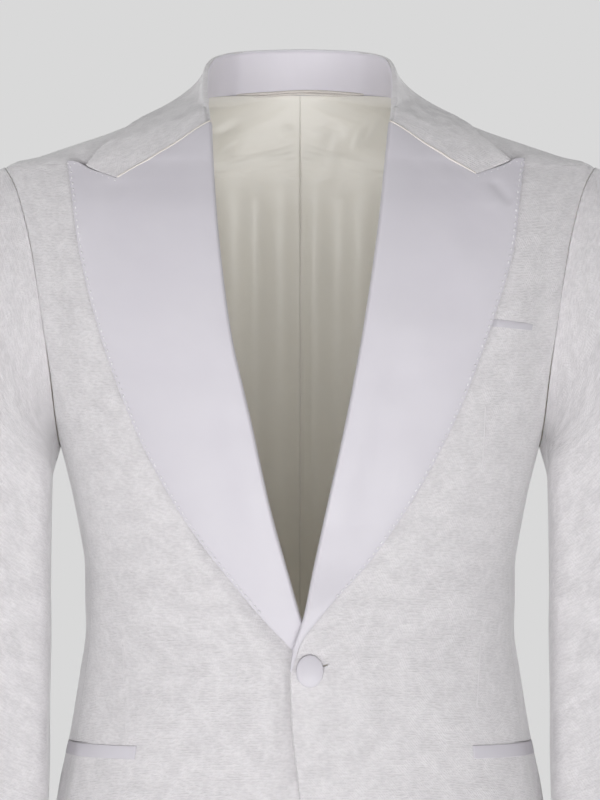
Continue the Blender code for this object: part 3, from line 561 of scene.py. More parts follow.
# %% The armholes
ARMHOLE_HEIGHT, ARMHOLE_HALF_HEIGHT = -164.0, 109.0
ARMHOLE_FRONT, ARMHOLE_BACK = 54.0, 64.0
SIDE_SEAM_ANGLE = 137.0
SEAM_GAP = 0.08
SEAM_HEIGHTS = (-740, -495, -412, -243.7)
FRONT_SEAM_OFFSETS, BACK_SEAM_OFFSETS = (48, 44, 40, 36.8), (52, 40, 36, 43.6)
HEM_ROWS_END = -650.0
LOWER_RINGS, ARMHOLE_RINGS, SHOULDER_RINGS = 104, 46, 46


def armhole_height(angle):
    return ARMHOLE_HEIGHT + ARMHOLE_HALF_HEIGHT * np.cos(np.radians(angle))


def armhole_turn(angle):
    """Turn of the armhole at an angle: up to 180 in front, and past it behind."""
    back = angle > 180
    reach = ARMHOLE_BACK if back else ARMHOLE_FRONT
    return side_turn(reach * abs(np.sin(np.radians(angle))), armhole_height(angle), back)


def outer_turn(height, back=False):
    """Turn of a front or back panel's outer edge: side seam, armhole, then shoulder."""
    if height >= ARMHOLE_HEIGHT + ARMHOLE_HALF_HEIGHT:
        return 90.0
    if height > armhole_height(SIDE_SEAM_ANGLE):
        angle = np.degrees(np.arccos((height - ARMHOLE_HEIGHT) / ARMHOLE_HALF_HEIGHT))
        return float(armhole_turn(360 - angle if back else angle))
    offsets = BACK_SEAM_OFFSETS if back else FRONT_SEAM_OFFSETS
    return float(side_turn(smooth(SEAM_HEIGHTS, offsets, height), height, back))


def seam_turn(turn, height, distance):
    """The turn that lies a distance along the cloth from another one."""
    step = body_point(turn + 0.05, height) - body_point(turn - 0.05, height)
    return float(turn + distance * 0.1 / np.linalg.norm(step, axis=-1))


def panel_rings(hem_step=4.0):
    """Heights of a panel's rings: close together at the hem and round the armhole."""
    hem = np.arange(HEM, HEM_ROWS_END, hem_step)
    lower = np.linspace(HEM_ROWS_END, armhole_height(SIDE_SEAM_ANGLE), LOWER_RINGS)
    armhole = armhole_height(np.linspace(SIDE_SEAM_ANGLE, 0, ARMHOLE_RINGS))
    shoulder = np.linspace(armhole[-1], NECK_RING, SHOULDER_RINGS)
    ends = [HEM + EDGE_STEP, NECK_RING - 0.5]
    return np.sort(np.concatenate([hem, lower, armhole[1:], shoulder[1:], ends]))


def panel_grid(rings, columns, radius, edges):
    """Turns and heights of a panel's points, from its two edges' turns at each ring."""
    turns = []
    for height in rings:
        start, end = edges(height)
        shares = edged(columns, np.radians(end - start) * radius)
        turns.append(start + (end - start) * shares)
    return np.array(turns), np.repeat(rings, len(shares)).reshape(-1, len(shares))


print("rings on a panel:", len(panel_rings()))

# %% The fronts' edges
LAPEL_COLUMNS = "roll_x roll_height edge_x edge_height".split()
LAPEL_ROWS = {
    "left": (
        (-7.4, -441, -6.2, -442),
        (-5.6, -425, -0.8, -423),
        (2.1, -401, 20.6, -393),
        (9.6, -364.5, 52, -358.5),
        (20.6, -314, 88, -306),
        (34.2, -252, 119, -246),
        (47.8, -179, 146, -175),
        (58.5, -106, 162.5, -118),
        (64.5, -52, 167.5, -80),
        (67.2, -27, 172.0, -52.9),
    ),
    "right": (
        (-9.0, -432, -3.0, -435),
        (-6.0, -415, 7.8, -423),
        (-1.0, -401, 24.2, -406),
        (9.5, -364.5, 55, -369.5),
        (21.6, -320, 88, -325),
        (36.6, -252, 121.5, -264),
        (52.3, -181, 149, -192),
        (62.0, -102, 167, -124),
        (65.6, -55, 172.5, -89),
        (67.0, -27, 178.2, -53.9),
    ),
}
LAPELS = {side: table(LAPEL_COLUMNS, rows) for side, rows in LAPEL_ROWS.items()}
FOLD_INSET = 3.6  # from a roll line to the edge of the front under it
EDGE_HEIGHTS = (-740, -731, -714, -688, -650, -605, -560, -520, -480, -440)
FRONT_EDGE = {
    "left": (128, 99, 70, 45, 24, 11, 3, -2.2, -6.4, -7.7),
    "right": (125, 92, 60, 34, 12, -3, -11, -15, -19.5, -19),
}
ROLL_RINGS = (-440, -400, -365, -330, -295, -268, -243.7, -224.9, -201.3, -167.8, -134.0)
UPPER_RINGS = (-103.0, -78.1, -61.6, -55, -46, -37, -28)
NECK_RINGS, NECK_EDGE = (-28, -19, -11, -3), (70.8, 73.2, 74.6, 75.0)
OVERLAP_HEIGHTS = (-740, -650, -590, -480, -440, -400, -365, -330)
OVERLAP_LIFT = (0, 0.5, 2.9, 2.9, 6.4, 6.4, 2.4, 0)
OVERLAP_FULL, OVERLAP_END = 21.0, 80.0


def roll_x(side, height):
    return smooth(LAPELS[side]["roll_height"], LAPELS[side]["roll_x"], height)


def inner_x(side, height):
    """Distance outwards of a front's inner edge: front edge, fold, then neck seam."""
    if height <= EDGE_HEIGHTS[-1]:
        return float(smooth(EDGE_HEIGHTS, FRONT_EDGE[side], height))
    if height >= NECK_RINGS[0]:
        return float(smooth(NECK_RINGS, NECK_EDGE, height))
    rings = ROLL_RINGS + UPPER_RINGS
    folds = [roll_x(side, ring) + FOLD_INSET for ring in rings[1:-1]]
    return float(np.interp(height, rings, [FRONT_EDGE[side][-1], *folds, NECK_EDGE[0]]))


def overlap(side, points):
    """How far the left front stands off over the right one."""
    if side == "right":
        return np.zeros(points.shape[:-1])
    rise = smooth(OVERLAP_HEIGHTS, OVERLAP_LIFT, points[..., 2])
    return rise * (1 - ease((points[..., 0] - OVERLAP_FULL) / (OVERLAP_END - OVERLAP_FULL)))


print("front edges at the hem:", FRONT_EDGE["left"][0], FRONT_EDGE["right"][0])

# %% [markdown]
# ## Where the body drapes
#
# The same folds go over all the body's panels, so that the pieces still meet at their
# seams. The cloth swells a little beside the armholes, drapes from under the arms, breaks
# softly over the hips and in the small of the back, and dips along the centre back seam.

# %% The body's folds
def round_body(*places):
    """A line on the body through turns and heights."""
    return body_point(*between(places))


def across_front(*places):
    """A line on the front of the body through distances outwards and heights."""
    return on_body(*between(places))


def beside_armhole(inset, low, high, back=False):
    """A line that runs beside the armhole, that many degrees further in."""
    heights = np.linspace(low, high, 24)
    turns = [outer_turn(height, back) + (inset if back else -inset) for height in heights]
    return body_point(np.array(turns), heights)


BODY_FOLDS = [
    # a line on the body, how wide the fold is and how far it stands out
    (beside_armhole(3.2, -236, -70), 7.0, 1.5),
    (beside_armhole(9.0, -230, -110), 9.0, -1.1),
    (beside_armhole(4.0, -236, -80, back=True), 8.0, 1.4),
    (beside_armhole(11.0, -236, -100, back=True), 11.0, -1.3),
    (round_body((76, -470), (75, -500), (73, -560), (72, -640)), 14.0, -3.2),
    (round_body((90, -58), (90, -50)), 13.0, -2.2),
    (round_body((24, -55), (45, -55), (66, -55), (84, -55)), 9.0, -1.8),
    (round_body((156, -55), (135, -55), (114, -55), (96, -55)), 9.0, -1.8),
    (round_body((90, -54), (90, -46), (90, -37), (90, -28), (90, -19)), 26.0, -2.4),
    (across_front((150, -520), (152, -600), (146, -690)), 13.0, 1.6),
    (across_front((60, -455), (95, -470), (135, -480)), 13.0, 0.8),
    (across_front((70, -425), (110, -412), (150, -395)), 13.0, -0.9),
    (round_body((76, -285), (80, -340), (84, -410)), 10.0, -1.8),
    (round_body((90, -295), (92, -350), (95, -430)), 9.0, 1.6),
    (round_body((102, -285), (104, -350), (106, -420)), 9.0, -1.7),
    (round_body((120, -260), (126, -330), (134, -400)), 12.0, -1.6),
    (round_body((134, -250), (140, -320), (150, -395)), 12.0, 1.5),
    (round_body((118, -400), (140, -412), (166, -408)), 12.0, -1.8),
    (round_body((122, -436), (145, -440), (170, -432)), 14.0, 1.5),
    (round_body((128, -372), (148, -384), (168, -380)), 12.0, 1.2),
    (round_body((150, -560), (152, -640), (150, -720)), 16.0, 1.8),
    (round_body((132, -540), (134, -620), (133, -705)), 14.0, -1.8),
    (round_body((100, -560), (102, -640), (101, -720)), 14.0, 1.6),
]
CENTRE_SEAM = (round_body((180, -738), (180, -400), (180, -6)), 1.6, -0.9, 0.02)
SHELL, LINING_DEPTH, LINING_WALL = 2.0, 2.8, 0.8
BODY_RIPPLE = (85.0, 0.35, 4)  # size, height and seed


def drape(points):
    """How far the body's cloth stands out at each point."""
    return folded(points, BODY_FOLDS) + ripple(points, *BODY_RIPPLE)


def panel(name, side, turns, heights, lift, inner=SEWN):
    """A piece on the body, lifted off it by the given heights and mirrored for the right."""
    points, normals = body_point(turns, heights), body_normal(turns, heights)
    lift = lift + drape(points)
    face, back = (points + normals * (lift - wall)[..., None] for wall in (0, SHELL))
    return make_up(f"{name}_{side}", side, face, back, (CLOTH, LINING), (RIM, SEWN, inner, SEWN))


print("folds on each side of the body:", len(BODY_FOLDS))

# %% Make the fronts
FRONT_COLUMNS, FRONT_RADIUS = 46, 160
# Soft hollows along the lapels' edges: a line outwards and in height, width, height, fade.
FRONT_HOLLOWS = {
    "left": (((167, -100), (158, -150), (146, -190), (124, -246)), 5.0, -2.0, 0.2),
    "right": (((-6, -440), (6, -426), (24, -407), (55, -371), (88, -326)), 5.5, -4.6, 0.15),
}
HOLLOW_OUT, HOLLOW_WIDTH, HOLLOW_HEIGHT = 5.0, 4.4, -6.0  # beside the left front's edge
HOLLOW_FROM, HOLLOW_TO = -690, -418  # heights where it begins and ends
HOLLOW_FADES = 80, 30


def beside_lapel(side, points):
    line, *sizes = FRONT_HOLLOWS[side]
    return fold(points, across_front(*line), *sizes)


def lapped(points):
    """The right front beside and under the left front's edge: a hollow, then a rise."""
    beyond = points[..., 0] + smooth(EDGE_HEIGHTS, FRONT_EDGE["left"], points[..., 2])
    rise = np.maximum(smooth(OVERLAP_HEIGHTS, OVERLAP_LIFT, points[..., 2]) - SHELL - 0.5, 0)
    hollow = HOLLOW_HEIGHT * np.exp(-(((beyond - HOLLOW_OUT) / HOLLOW_WIDTH) ** 2))
    low, high = points[..., 2] - HOLLOW_FROM, HOLLOW_TO - points[..., 2]
    reach = ease(low / HOLLOW_FADES[0]) * ease(high / HOLLOW_FADES[1])
    return rise * (1 - ease((beyond + 1.5) / 6)) + hollow * reach


def make_front(side):
    def edges(height):
        start = float(front_turn(inner_x(side, height), height))
        return start, seam_turn(outer_turn(height), height, -SEAM_GAP / 2)

    rings = panel_rings(hem_step=2.6)
    turns, heights = panel_grid(rings, FRONT_COLUMNS, FRONT_RADIUS, edges)
    points = body_point(turns, heights)
    lift = overlap(side, points) + beside_lapel(side, points)
    if side == "right":
        lift += lapped(points)
    return panel("cloth_front", side, turns, heights, lift, inner=RIM)


for side in SIDES:
    make_front(side)

# %% [markdown]
# ## Side bodies, backs and lining
#
# The side body is the narrow panel under the arm. The two backs meet at the centre back
# seam. Inside them hangs the lining, in two halves too: it is cut a little longer and wider
# than the back, so it falls in soft upright folds and puckers under the collar.

# %% Side bodies and backs
SIDE_ROWS, BACK_COLUMNS, BACK_RADIUS = 122, 42, 150
UNDERARM = np.linspace(SIDE_SEAM_ANGLE, 360 - SIDE_SEAM_ANGLE, 29)
UNDERARM_STEP = 2.0  # degrees of the armhole from the side body's edge to its next column


def make_side(side):
    """The side body: each ring keeps the columns' shares of the armhole at its top."""
    start, *inner, end = UNDERARM
    angles = np.array([start, start + UNDERARM_STEP, *inner, end - UNDERARM_STEP, end])
    shares = np.array([armhole_turn(angle) for angle in angles])
    shares = (shares - shares[0]) / (shares[-1] - shares[0])
    tops, top = armhole_height(angles), armhole_height(SIDE_SEAM_ANGLE)
    rings = np.linspace(HEM + 5, top - EDGE_STEP, SIDE_ROWS)
    turns, heights = [], []
    for height in np.concatenate([[HEM, HEM + EDGE_STEP], rings, [top]]):
        start = seam_turn(outer_turn(height), height, SEAM_GAP / 2)
        end = seam_turn(outer_turn(height, back=True), height, -SEAM_GAP / 2)
        turns.append(start + (end - start) * shares)
        heights.append(HEM + (height - HEM) * (tops - HEM) / (top - HEM))
    turns, heights = np.array(turns), np.array(heights)
    return panel("cloth_side", side, turns, heights, np.zeros(turns.shape))


def back_grid(columns, rings, gap=SEAM_GAP):
    def edges(height):
        start = seam_turn(outer_turn(height, back=True), height, SEAM_GAP / 2)
        return start, seam_turn(180.0, height, -gap / 2)

    return panel_grid(rings, columns, BACK_RADIUS, edges)


def make_back(side):
    turns, heights = back_grid(BACK_COLUMNS, panel_rings())
    lift = fold(body_point(turns, heights), *CENTRE_SEAM)
    return panel("cloth_back", side, turns, heights, lift)


for side in SIDES:
    make_side(side)
    make_back(side)

# %% The back lining
LINING_BOTTOM, LINING_COLUMNS = -724.0, BACK_COLUMNS + 10
LINING_MARGIN = 5.0
LINING_HANG, LINING_VALLEY = 4.5, 4.0  # how far it hangs in off the back, and dips at its seam
LINING_RISE = ((0.1, 0.4), (0.2, 1.0))  # rows over the stand's foot: inwards, share of the rise
LINING_TOP, LINING_SIDE_RISE = 4.4, 3.0
LINING_RIPPLE = (60, 0.5, 9)  # size, height and seed
LINING_FLAT = 13  # the folds fade out within this distance of the centre seam
LINING_CLEAR, LINING_HANG_FROM, LINING_HANG_OVER = 1.2, -6, 50
LINING_GAP = 0.02
# Upright folds of the lining: distance outwards at the top and lower down, width, height.
LINING_DRAPES = {
    "left": ((8, 15, 8.0, 3.0), (31, 30, 9.0, -2.8), (50, 40, 11.0, 2.2), (68, 62, 10.0, -2.2)),
    "right": ((17, 15, 9.0, 2.6), (37, 33, 8.0, -3.4), (58, 46, 11.0, 2.6), (74, 66, 10.0, -2.2)),
}
# Short creases near the neck: two places as distance outwards and height, width, height.
LINING_CREASES = {
    "left": (
        ((68, -6), (46, -36), 4.5, 4.6),
        ((60, -2), (36, -46), 5.0, -3.6),
        ((30, -8), (20, -64), 6.0, 2.2),
    ),
    "right": (
        ((76, -24), (46, -12), 4.5, 4.6),
        ((72, -40), (42, -18), 6.0, -4.0),
        ((3, -28), (14, -16), 3.0, 2.2),
    ),
}
LINING_CENTRE = {}  # the lining's inner edge at the centre seam


def lining_folds(side):
    """The lining's folds, where a height above nothing stands in towards the wearer."""
    drapes = [((x1, -30), (x2, -700), *sizes, 0.12) for x1, x2, *sizes in LINING_DRAPES[side]]
    creases = [(*crease, 0.4) for crease in LINING_CREASES[side]]
    for count, rows in ((30, drapes), (10, creases)):
        for (x1, z1), (x2, z2), *sizes in rows:
            x, z = np.linspace(x1, x2, count), np.linspace(z1, z2, count)
            yield body_point(front_turn(x, z, back=True), z), *sizes


def make_lining(side):
    rings = panel_rings()
    rings = rings[rings > LINING_BOTTOM + 3]
    rings = np.concatenate([[LINING_BOTTOM, LINING_BOTTOM + EDGE_STEP], rings])
    turns, heights = back_grid(LINING_COLUMNS, rings, LINING_GAP)
    points, normals = body_point(turns, heights), body_normal(turns, heights)
    inwards = folded(points, lining_folds(side)) * ease(np.abs(points[..., 0]) / LINING_FLAT)
    inwards += np.abs(ripple(points, *LINING_RIPPLE))
    inwards -= LINING_VALLEY * fold(points, CENTRE_SEAM[0], 7.0, 1.0, 0.3)
    down = (LINING_HANG_FROM - points[..., 2]) / LINING_HANG_OVER
    hang = LINING_CLEAR + LINING_HANG * ease(down)
    hang = np.maximum(inwards * ease((4 - points[..., 2]) / 30) + hang, 0)
    depth = LINING_DEPTH - drape(points) + hang
    walls = [points - normals * (depth + wall)[..., None] for wall in (0.0, LINING_WALL)]
    for wall in walls:
        wall[:, 0] += unit(wall[:, 2] - wall[:, 0]) * LINING_MARGIN
        wall[:, 1] = wall[:, 0] + unit(wall[:, 3] - wall[:, 0]) * EDGE_STEP
        wall[:, 2] = (wall[:, 1] + wall[:, 3]) / 2
    inside = -normals[-1] * np.array([1.0, 1.0, 0.0])
    rise = LINING_TOP + LINING_SIDE_RISE * ease((np.abs(points[-1, :, 0]) - 30) / 35)
    over = [inside * a + rise[:, None] * np.array([0, 0, b]) for a, b in LINING_RISE]
    face, back = (np.concatenate([wall, [wall[-1] + step for step in over]]) for wall in walls)
    LINING_CENTRE[side] = face[:, -1]
    return make_up("lining_back_" + side, side, face, back, (LINING,), (RIM, 0.02, RIM, 0.02))


for side in SIDES:
    for face in make_lining(side).data.polygons:
        face.use_smooth = abs(face.center.x) > 0.05 * MM  # the halves meet without a groove

# %% [markdown]
# ## Sleeves
#
# A two-piece sleeve has a wide top sleeve and a narrow under sleeve. Each line of it leaves
# the oval armhole, rounds over the sleeve head and then runs down a tube that bends
# forward, as a hanging arm does. Cloth breaks at the front of the elbow and slides into
# slack folds above the wrist.

# %% The sleeve's shape
SLEEVE_COLUMNS = "height inner_x width middle_y depth power".split()
SLEEVE_ROWS = (
    (-680, 203.0, 80, -38, 98, 2.5),
    (-600, 198.0, 86, -20, 106, 2.5),
    (-530, 195.8, 92, -5, 114, 2.5),
    (-430, 195.2, 98, 5, 123, 2.5),
    (-330, 194.6, 102, 6, 131, 2.5),
    (-250, 192.6, 105, 4, 135, 2.5),
    (-190, 192.0, 105, 3, 135, 2.5),
)
SLEEVE = table(SLEEVE_COLUMNS, SLEEVE_ROWS)
CUFF = -680.0
CAP_END, CAP_TILT, CAP_PULL = -250.0, 50.0, 0.95
CAP_ROWS, ARM_ROWS = 34, 100
FOREARM_SEAM, HINDARM_SEAM = 152.0, 250.0
SLEEVE_SETBACK, UNDERARM_SETBACK = 0.22, 0.7
FOREARM_CORNER, TURNED_OUT = 3.5, 0.055  # a firmer bend along the forearm; back turned out


def sleeve(name, height):
    return smooth(SLEEVE["height"], SLEEVE[name], height)


def tube_point(angle, height):
    """Point on the sleeve's tube: angle 0 outside, 90 in front, 180 towards the body."""
    angle, height = np.broadcast_arrays(np.radians(angle), np.asarray(height, float))
    corner = np.maximum(-np.sin(2 * angle) * (np.sin(angle) > 0), 0) ** 0.5
    power = sleeve("power", height) + FOREARM_CORNER * corner
    reach = (np.abs(np.cos(angle)) ** power + np.abs(np.sin(angle)) ** power) ** (-1 / power)
    half = sleeve("width", height) / 2
    x = sleeve("inner_x", height) + half + half * reach * np.cos(angle)
    back = -sleeve("depth", height) / 2 * reach * np.sin(angle)
    return np.stack([x + TURNED_OUT * back, sleeve("middle_y", height) + back, height], -1)


def sleeve_start(angle):
    """First point of the sleeve at an armhole angle, and the way the cloth leaves it."""
    up, down = max(np.cos(np.radians(angle)), 0), max(-np.cos(np.radians(angle)), 0)
    forward = np.sin(np.radians(angle))
    leave = up * np.array([1.0, 0, -0.35]) + down * np.array([0.12, 0, -1.0])
    leave = leave + abs(forward) * np.array([0.8, 0, -0.5]) + forward * np.array([0, -0.28, 0])
    leave = unit(leave)
    turn, height = armhole_turn(angle), armhole_height(angle)
    shift = UNDERARM_SETBACK * down * body_normal(turn, height)
    return body_point(turn, height) + leave * SLEEVE_SETBACK + shift, leave


def sleeve_grid(angles):
    """Rows of points from the armhole to the cuff, one column for each angle."""
    columns = []
    for angle in np.asarray(angles) % 360:
        start, leave = sleeve_start(angle)
        end_height = CAP_END + CAP_TILT * np.cos(np.radians(angle))
        end = tube_point(angle, end_height)
        down = unit(tube_point(angle, end_height - 5) - end)
        pull = CAP_PULL * np.linalg.norm(end - start)
        u = np.concatenate([[0, 0.012], np.linspace(0, 1, CAP_ROWS + 1)[1:-1]])[:, None]
        cap = hermite(u, start, end, pull * leave, pull * down)
        heights = np.linspace(end_height, CUFF, ARM_ROWS + 1)
        heights = np.concatenate([heights[:-1], [CUFF + EDGE_STEP, CUFF]])
        columns.append(np.concatenate([cap, tube_point(angle, heights)]))
    return np.array(columns).transpose(1, 0, 2)


print("sleeve rows:", CAP_ROWS + ARM_ROWS + 3)

# %% The sleeves' folds, and the sleeves
def down_arm(*places):
    """A line on the sleeve's tube through angles and heights."""
    return tube_point(*between(places))


SLEEVE_FOLDS = [
    (down_arm((62, -232), (70, -300), (78, -360)), 9.0, -2.0),
    (down_arm((100, -236), (96, -300), (92, -370)), 9.0, 1.8),
    (down_arm((40, -236), (46, -300), (50, -352)), 10.0, 1.4),
    (down_arm((60, -395), (92, -415), (130, -408)), 8.0, -2.6),
    (down_arm((58, -420), (90, -440), (132, -436)), 8.0, 2.0),
    (down_arm((50, -446), (84, -464), (124, -462)), 8.0, -2.2),
    (down_arm((150, -380), (120, -392), (84, -388)), 8.0, 1.6),
    (down_arm((64, -560), (96, -574), (132, -566)), 9.0, -1.4),
    (down_arm((-60, -420), (-80, -452), (-100, -470)), 12.0, -1.6),
    (down_arm((-40, -450), (-64, -486), (-92, -505)), 12.0, 1.4),
    (down_arm((0, -300), (4, -400), (2, -480)), 16.0, -1.2),
    (down_arm((-30, -560), (-20, -610), (-8, -660)), 12.0, -1.4),
    (down_arm((30, -560), (26, -620), (20, -668)), 12.0, 1.2),
]
SLEEVE_RIPPLE = (70, 0.3, 6)  # size, height and seed
SLEEVE_FADE_ROWS = 12  # the folds start this many rows below the armhole
SLEEVE_PARTS = {
    # first and last angle, columns
    "top": (HINDARM_SEAM - 360, FOREARM_SEAM, 84),
    "under": (FOREARM_SEAM, HINDARM_SEAM, 34),
}


def make_sleeve(side, part):
    first, last, columns = SLEEVE_PARTS[part]
    angles = first + (last - first) * edged(columns, (last - first) * 1.1)
    grid = sleeve_grid(angles)
    turned = sleeve_grid(angles + 1.0) - sleeve_grid(angles - 1.0)
    normals = unit(np.cross(turned, np.gradient(grid, axis=0)))
    grid[:, 0] += unit(grid[:, 1] - grid[:, 0]) * SEAM_GAP / 2
    grid[:, -1] -= unit(grid[:, -1] - grid[:, -2]) * SEAM_GAP / 2
    lift = folded(grid, SLEEVE_FOLDS) + ripple(grid, *SLEEVE_RIPPLE)
    lift = lift * ease(np.arange(len(grid)) / SLEEVE_FADE_ROWS)[:, None]
    face = grid + normals * lift[..., None]
    back = face - normals * SHELL
    rims = (SEWN, RIM, SEWN, SEWN)
    return make_up(f"cloth_sleeve_{part}_{side}", side, face, back, (CLOTH, LINING), rims)


for side in SIDES:
    for part in SLEEVE_PARTS:
        make_sleeve(side, part)

# %% [markdown]
# ## Satin lapels
#
# The lapel is the front's upper part, turned back along the roll line and faced with
# satin. A real one rolls: it stands off the chest near the fold and comes to rest on it
# further out. So each row across it starts inside the front's edge, goes round the roll in
# a soft curve, rises a little and then lies down towards the outer edge. The top follows
# the gorge seam down to the notch, and then runs up to the peak.

# %% The lapel's section
LAPEL_WALL, LAPEL_LIFT = 2.2, 1.7
BELLY, BELLY_PLACE, BELLY_SPREAD = 2.2, 9.0, 16.0
BELLY_START, BELLY_STATIONS, DIP_STATIONS = 1.5, 3.0, 3.0
ROLL_REACH, ROLL_LEAST = 2.6, 0.3  # how far the roll goes in from the roll line
ROLL_SHALLOW, ROLL_DEEPENING = 0.6, 2.0
ROLL_UNDER = -3.1  # depth of the satin that is turned in under the front's edge
TURNED_IN = 5.0
ROLL_ARC = np.radians(np.linspace(-90, 90, 13))
NOTCH = {"left": (133.8, -66.7), "right": (138.9, -69.4)}
NOTCH_SHARE = 0.67
PEAK_BULGE = {"left": (0, 0.8, 2.6, 0), "right": (0, -0.4, 2.2, 0)}  # above a straight edge
GORGE_GAP, FOLD_GAP = 0.6, 0.5
LAPEL_STEPS = 34  # rows of points from one row of the lapel's table to the next


def roll_lift(distance, belly=BELLY):
    """How far the lapel's inner face stands off the front, by distance from its fold."""
    return LAPEL_LIFT + belly * np.exp(-(((distance - BELLY_PLACE) / BELLY_SPREAD) ** 2))


def lapel_top(roll, edge, notch, shares, bulge):
    """Points along the top of a lapel: down the gorge to the notch, then up to the peak."""
    shares = shares[:, None]
    gorge = roll + (notch - roll) * shares / NOTCH_SHARE
    along = (shares - NOTCH_SHARE) / (1 - NOTCH_SHARE)
    rise = smooth((0, 0.5, 0.78, 1.0), bulge, along)
    peak = notch + (edge - notch) * along + np.array([0, 1.0]) * rise
    return np.where(shares <= NOTCH_SHARE, gorge, peak)


def roll_section(reach, room, top):
    """The turned part of a row: distances and heights of its outer and its inner face.

    The satin turns in under the front's edge only as far as there is room for it.
    """
    deep = np.clip((room - ROLL_SHALLOW) / ROLL_DEEPENING, 0, 1)
    under = ROLL_UNDER * deep + LAPEL_LIFT * (1 - deep)
    inset = reach + TURNED_IN * max(deep, 0.04) * np.array([1.0, 0.6, 0.2])
    bend, swing = np.cos(ROLL_ARC), np.sin(ROLL_ARC)
    inner_top = top - LAPEL_WALL * 0.95
    inner_under = min(under + 0.8, inner_top - 0.1)
    outer = reach * (1 - bend), under, top
    inner = reach + 0.4 - (reach - 0.5) * bend, inner_under, inner_top
    for at, low, high in (outer, inner):
        arc = (low + high) / 2 + (high - low) / 2 * swing
        yield np.concatenate([inset, at]), np.concatenate([np.full(len(inset), low), arc])


print("lapel stands off its front by", round(float(roll_lift(BELLY_PLACE)), 1), "mm at most")

# %% Stitches along the lapel's edge, and a dimple at each
STITCH_PITCH, STITCH_INSET = 5.2, 2.6
STITCH_END_STATIONS = 2.3  # the stitching stops this far above the lapel's tail
SCALLOP, SCALLOP_REACH = 0.28, 3.0  # between stitches the edge swells out
DIMPLE, DIMPLE_REACH = 0.2, 1.1
EDGE_DROP, EDGE_DROP_LENGTH = 0.9, 2.5  # how the lapel comes to rest at its outer edge
LAPEL_DIMPLES = {
    "left": ((((143, -68), (161, -90)), 5.5, -1.2), (((134, -72), (150, -92)), 8.0, 0.5)),
    "right": ((((128, -72), (150, -80)), 7.0, -0.4),),
}
LAPEL_SHARES = np.concatenate(
    [np.linspace(0.045, NOTCH_SHARE, 38), np.linspace(NOTCH_SHARE, 0.985, 20)[1:], [0.993, 1.0]]
)
LAPEL_RIPPLES = {"left": (60, 0.22, 12), "right": (60, 0.22, 13)}


def lapel_rows(side):
    """Stations along the lapel, and the roll line and the outer edge at each."""
    last = len(LAPEL_ROWS[side]) - 1
    stations = np.linspace(0, last, last * LAPEL_STEPS + 1)
    curve = [smooth(np.arange(last + 1), LAPELS[side][name], stations) for name in LAPEL_COLUMNS]
    return stations, np.stack(curve[:2], -1), np.stack(curve[2:], -1)


def lapel_grids(side):
    """Grids of the lapel's face and back, as distance outwards, height and lift."""
    stations, roll, edge = lapel_rows(side)
    shares, last = LAPEL_SHARES, stations[-1]
    top_line = lapel_top(roll[-1], edge[-1], np.array(NOTCH[side]), shares, PEAK_BULGE[side])
    dip = top_line - (roll[-1] + (edge[-1] - roll[-1]) * shares[:, None])
    run = np.concatenate([[0], np.cumsum(np.linalg.norm(np.diff(edge, axis=0), axis=1))])
    faces, backs = [], []
    for k, station in enumerate(stations):
        width = np.linalg.norm(edge[k] - roll[k])
        bend = np.clip((station - last + DIP_STATIONS) / DIP_STATIONS, 0, 1)
        room = inner_x(side, roll[k][1]) - roll[k][0] - FOLD_GAP
        reach = min(ROLL_REACH, max(room, ROLL_LEAST), 0.4 * width)
        start = max(shares[0], (reach + 0.5) / width)
        spread = start + (shares - shares[0]) * (1 - start) / (1 - shares[0])
        line = roll[k] + (edge[k] - roll[k]) * spread[:, None] + dip * bend**2
        stitched = station > STITCH_END_STATIONS
        wave = np.cos(2 * np.pi * run[k] / STITCH_PITCH) * stitched
        inside = (1 - spread) * width
        scallop = SCALLOP * wave * np.exp(-((inside / SCALLOP_REACH) ** 2))
        line = line + unit(line[-1] - line[-2]) * scallop[:, None]
        belly = BELLY * np.clip((station - BELLY_START) / BELLY_STATIONS, 0, 1)
        low = roll_lift(spread * width, belly) - EDGE_DROP * np.exp(-inside / EDGE_DROP_LENGTH)
        beside = np.exp(-(((inside - STITCH_INSET) / DIMPLE_REACH) ** 2))
        dimple = DIMPLE * beside * (0.5 - 0.5 * wave) * stitched
        section = roll_section(reach, room, float(roll_lift(reach, belly)) + LAPEL_WALL)
        way = unit(line[0] - roll[k])
        flats = (low + LAPEL_WALL - dimple, low)
        for (at, turned), flat, grid in zip(section, flats, (faces, backs)):
            places = np.concatenate([roll[k] + at[:, None] * way, line])
            heights = np.concatenate([turned, flat])
            grid.append(np.concatenate([places, heights[:, None]], axis=1))
    return np.array(faces), np.array(backs)


def lay_on_front(side, grid):
    """Points on the front from distance outwards, height and lift."""
    x, height, lift = grid[..., 0], grid[..., 1], grid[..., 2]
    on = body_point(front_turn(x, height), height)
    return on_body(x, height, lift + overlap(side, on))


def make_lapel(side):
    grids = lapel_grids(side)
    on = on_body(grids[0][..., 0], grids[0][..., 1])
    soft = ripple(on, *LAPEL_RIPPLES[side])
    for line, *sizes in LAPEL_DIMPLES[side]:
        soft = soft + fold(on, on_body(*np.array(line, float).T), *sizes)
    for grid in grids:
        grid[..., 2] += soft
    grids = [lay_on_front(side, grid) for grid in grids]
    for grid in grids:
        grid[-1] -= unit(grid[-1] - grid[-3]) * GORGE_GAP / 2
    return make_up("satin_lapel_" + side, side, *grids, (SATIN,))


for side in SIDES:
    make_lapel(side)

# %% [markdown]
# ## The collar
#
# A collar has two parts. The stand is the satin band that shows inside, behind the neck.
# The leaf is folded over it in the white cloth and lies on the shoulders. Both hang from
# one crease line that runs round the neck and down to the gorge seam. Rows of points cross
# it, and each row has its own lean, because the crease tips towards the neck at the sides.

